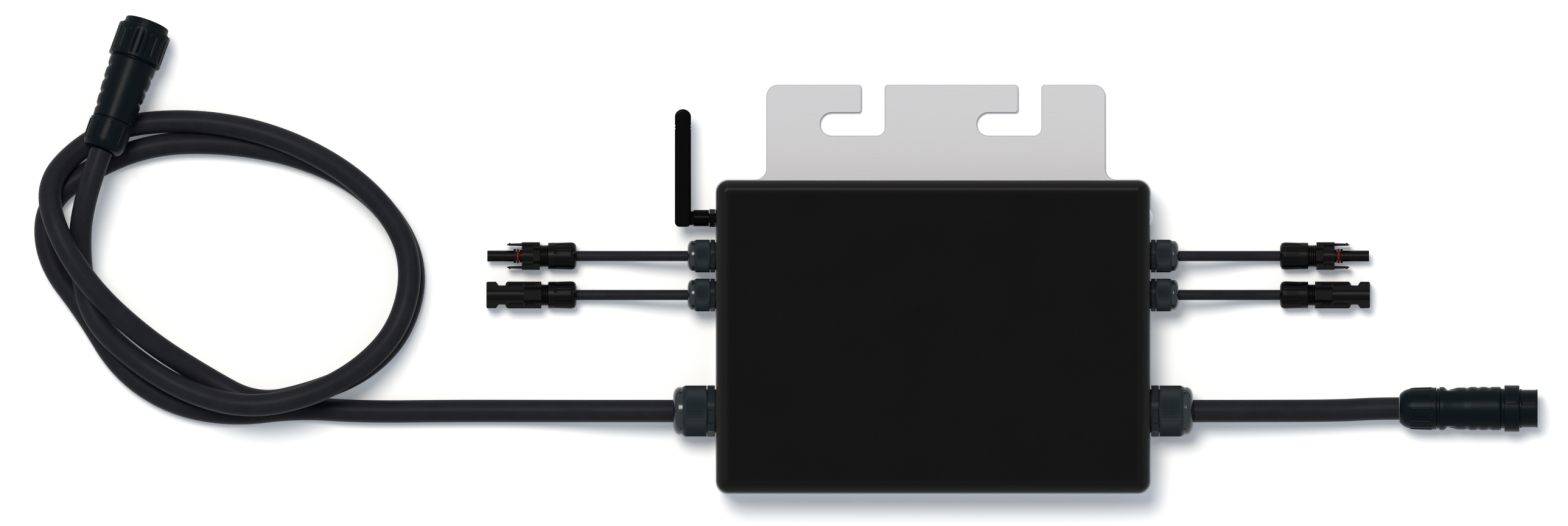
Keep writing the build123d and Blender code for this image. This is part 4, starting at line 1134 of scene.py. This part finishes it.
class INVERTER_OT_right_coupling(bpy.types.Operator):
    """Build the grid connector on the right"""

    bl_idname = "inverter.right_coupling"
    bl_label = "Right grid connector"

    def execute(self, context):
        grips = context.scene.inverter_grips
        turn = Turn(AC_RIGHT_ORIGIN, (1, 0, 0), (0, 1, 0))
        coupling_nut(
            "coupling_nut_right",
            turn,
            "ac_right_nut",
            in_mm(
                (9.0, 12.05, 0),
                (5.0, 7.5, 0),
                (0.5, 7.5, 0.2),
                (0, 8.2, 0.4),
                (0.7, 9.6, 0.6),
                (3.0, 11.6, 1.6),
                (6.2, 12.75, 2.0),
                (9.6, 13.2, 2.0),
                (23.7, 13.6, 0.5),
                (24.1, 13.2, 0.2),
                (24.1, 12.05, 0),
            ),
            grips.cap_ribs,
            grips.cap_rib_height,
            (0.0066, 0.0214),
        )
        coupling_body(
            "coupling_body_right",
            turn,
            "ac_right_body",
            in_mm(
                (10.0, 7.4, 0),
                (10.0, 11.9, 0),
                (24.3, 11.9, 0),
                (24.3, 13.0, 0.1),
                (25.8, 13.0, 0.3),
                (26.3, 13.9, 0.3),
                (28.3, 14.0, 0.6),
                (34.0, 13.7, 1.6),
                (42.3, 13.6, 1.0),
                (46.0, 14.0, 1.0),
                (65.2, 14.0, 0.8),
                (65.9, 12.8, 0.2),
                (67.8, 12.8, 0),
                (67.8, 12.1, 0),
                (77.9, 12.1, 0),
                (77.9, 12.6, 0.2),
                (79.0, 12.6, 0.2),
                (79.0, 12.1, 0),
                (88.0, 12.1, 0.2),
                (88.3, 12.4, 0.2),
                (89.4, 12.3, 0.3),
                (89.4, 10.4, 0.3),
                (66.0, 10.4, 0),
                (66.0, 7.4, 0),
            ),
            in_mm(
                (31.3, 1.6, 1.5),
                (33.7, 1.0, 2.8),
                (44.0, 0.6, 1.2),
                (51.0, 0.6, 1.2),
                (58.0, 0.6, 1.2),
            ),
            dict(start=0.0790, stop=0.0884, half_width=0.0017, height=0.0004, inner=0.01199),
        )
        keyed_collar(
            "coupling_collar_right",
            turn,
            "right_coupling",
            "ac_right_collar",
            start=0.0679,
            stop=0.0776,
            inner=0.01215,
            outer=0.0150,
        )
        return {"FINISHED"}


class INVERTER_OT_left_coupling(bpy.types.Operator):
    """Build the grid connector on the left"""

    bl_idname = "inverter.left_coupling"
    bl_label = "Left grid connector"

    def execute(self, context):
        grips = context.scene.inverter_grips
        turn = Turn(AC_LEFT_ORIGIN, AC_LEFT_AXIS, AC_LEFT_SIDE)
        coupling_nut(
            "coupling_nut_left",
            turn,
            "ac_left_nut",
            in_mm(
                (9.0, 12.05, 0),
                (5.0, 7.5, 0),
                (0.5, 7.5, 0.2),
                (0, 9.2, 0.5),
                (0.9, 11.6, 0.9),
                (2.8, 13.0, 1.2),
                (6.0, 13.8, 1.6),
                (19.4, 13.95, 0.5),
                (19.8, 13.5, 0.2),
                (19.8, 12.05, 0),
            ),
            grips.cap_ribs,
            grips.cap_rib_height,
            (0.0040, 0.0178),
        )
        coupling_body(
            "coupling_body_left",
            turn,
            "ac_left_body",
            in_mm(
                (10.0, 7.4, 0),
                (10.0, 11.9, 0),
                (20.8, 11.9, 0),
                (20.8, 13.1, 0.4),
                (34.0, 14.2, 2.0),
                (50.0, 15.2, 2.0),
                (61.0, 15.5, 0.8),
                (62.2, 15.0, 0.2),
                (62.2, 14.6, 0),
                (84.2, 14.6, 0),
                (84.2, 15.2, 0.2),
                (85.4, 15.2, 0.2),
                (85.4, 14.6, 0),
                (89.0, 14.4, 0.5),
                (89.0, 12.6, 0.3),
                (72.0, 12.6, 0),
                (72.0, 11.6, 0),
                (66.0, 11.6, 0),
                (66.0, 7.4, 0),
            ),
            in_mm((27.5, 0.9, 1.3), (36.5, 0.9, 1.3), (45.5, 0.9, 1.3), (54.5, 0.9, 1.3)),
        )
        grip_ring(
            "coupling_ring_left",
            turn,
            "left_coupling",
            "ac_left_ring",
            start=0.0630,
            stop=0.0840,
            inner=0.01465,
            outer=0.0173,
            grips=24,
        )
        return {"FINISHED"}


class INVERTER_OT_cord_ends(bpy.types.Operator):
    """A step that does nothing"""

    bl_idname = "inverter.cord_ends"
    bl_label = "Cable ends"

    def execute(self, context):
        return {"FINISHED"}


class INVERTER_OT_stage(bpy.types.Operator):
    """Lay the floor and set the lights"""

    bl_idname = "inverter.stage"
    bl_label = "Floor and lights"

    def execute(self, context):
        stage = context.scene.inverter_stage
        half, level = 12.0, -0.0002
        sides = ((-half, -half), (half, -half), (half, half), (-half, half))
        mesh = bpy.data.meshes.new("floor")
        mesh.from_pydata([(x, y, level) for x, y in sides], [], [(0, 1, 2, 3)])
        mesh.materials.append(self.paper(stage.floor, stage.glow))
        floor = bpy.data.objects.new("floor", mesh)
        context.scene.collection.objects.link(floor)
        self.lamp("key_light", KEY_TOWARDS, stage.key, KEY_SPREAD, KEY_COLOUR)
        self.sky(context, stage.sky)
        context.scene.view_settings.view_transform = "Standard"
        return {"FINISHED"}

    @staticmethod
    def paper(colour, glow):
        """Faintly mottled matt paper, with a glow that only the camera, gloss and glass see."""
        finish = Finish(
            "floor_paper", Specular_IOR_Level=0.0, Roughness=0.9, Emission_Strength=1.0
        )
        mottle = finish.noise(6.0, 3.0)
        return finish.join(
            Base_Color=finish.shades(mottle, colour, 0.995, 1.0),
            Emission_Color=finish.blend(finish.seen(), BLACK, glow),
        )

    @staticmethod
    def lamp(name, towards, strength, spread, colour):
        """A distant lamp that shines from a direction."""
        data = bpy.data.lights.new(name, "SUN")
        data.energy = strength
        data.angle = spread
        data.color = colour
        lamp = bpy.data.objects.new(name, data)
        lamp.rotation_mode = "QUATERNION"
        lamp.rotation_quaternion = Vector(towards).normalized().to_track_quat("Z", "Y")
        bpy.context.scene.collection.objects.link(lamp)

    @staticmethod
    def sky(context, strength):
        """A cool even sky, seen white by the camera and in gloss and glass."""
        world = bpy.data.worlds.new("studio")
        context.scene.world = world
        world.use_nodes = True
        sky = Nodes(world.node_tree)
        shown = sky.blend(sky.seen(), scaled(SKY_COLOUR, strength), WHITE)
        background = world.node_tree.nodes["Background"]
        background.inputs["Strength"].default_value = 1.0
        world.node_tree.links.new(shown.socket, background.inputs["Color"])


class INVERTER_PT_pieces(bpy.types.Panel):
    """Lists the pieces and their settings"""

    bl_idname = "INVERTER_PT_pieces"
    bl_label = "Micro inverter"
    bl_space_type = "VIEW_3D"
    bl_region_type = "UI"
    bl_category = "Inverter"

    def draw(self, context):
        layout = self.layout
        for step in STEPS:
            layout.operator(step.bl_idname)
        for group in SETTINGS:
            settings = getattr(context.scene, group)
            for key in settings.__annotations__:
                layout.prop(settings, key)


STEPS = (
    INVERTER_OT_camera,
    INVERTER_OT_finishes,
    INVERTER_OT_cords,
    INVERTER_OT_large_glands,
    INVERTER_OT_small_glands,
    INVERTER_OT_lead_nuts,
    INVERTER_OT_right_coupling,
    INVERTER_OT_left_coupling,
    INVERTER_OT_cord_ends,
    INVERTER_OT_stage,
)
SETTINGS = {
    "inverter_cables": InverterCableSettings,
    "inverter_glands": InverterGlandSettings,
    "inverter_grips": InverterGripSettings,
    "inverter_finishes": InverterFinishSettings,
    "inverter_stage": InverterStageSettings,
}


def register():
    """Register the settings, the operators and the panel."""
    for name, group in SETTINGS.items():
        bpy.utils.register_class(group)
        setattr(bpy.types.Scene, name, bpy.props.PointerProperty(type=group))
    for step in STEPS:
        bpy.utils.register_class(step)
    bpy.utils.register_class(INVERTER_PT_pieces)


def unregister():
    """Take them all out again."""
    bpy.utils.unregister_class(INVERTER_PT_pieces)
    for step in reversed(STEPS):
        bpy.utils.unregister_class(step)
    for name, group in SETTINGS.items():
        delattr(bpy.types.Scene, name)
        bpy.utils.unregister_class(group)


def main():
    """Build everything in order."""
    register()
    bpy.ops.inverter.camera()
    bpy.ops.inverter.finishes()
    bpy.ops.inverter.cords()
    bpy.ops.inverter.large_glands()
    bpy.ops.inverter.small_glands()
    bpy.ops.inverter.lead_nuts()
    bpy.ops.inverter.right_coupling()
    bpy.ops.inverter.left_coupling()
    bpy.ops.inverter.cord_ends()
    bpy.ops.inverter.stage()


if __name__ == "__main__":
    main()
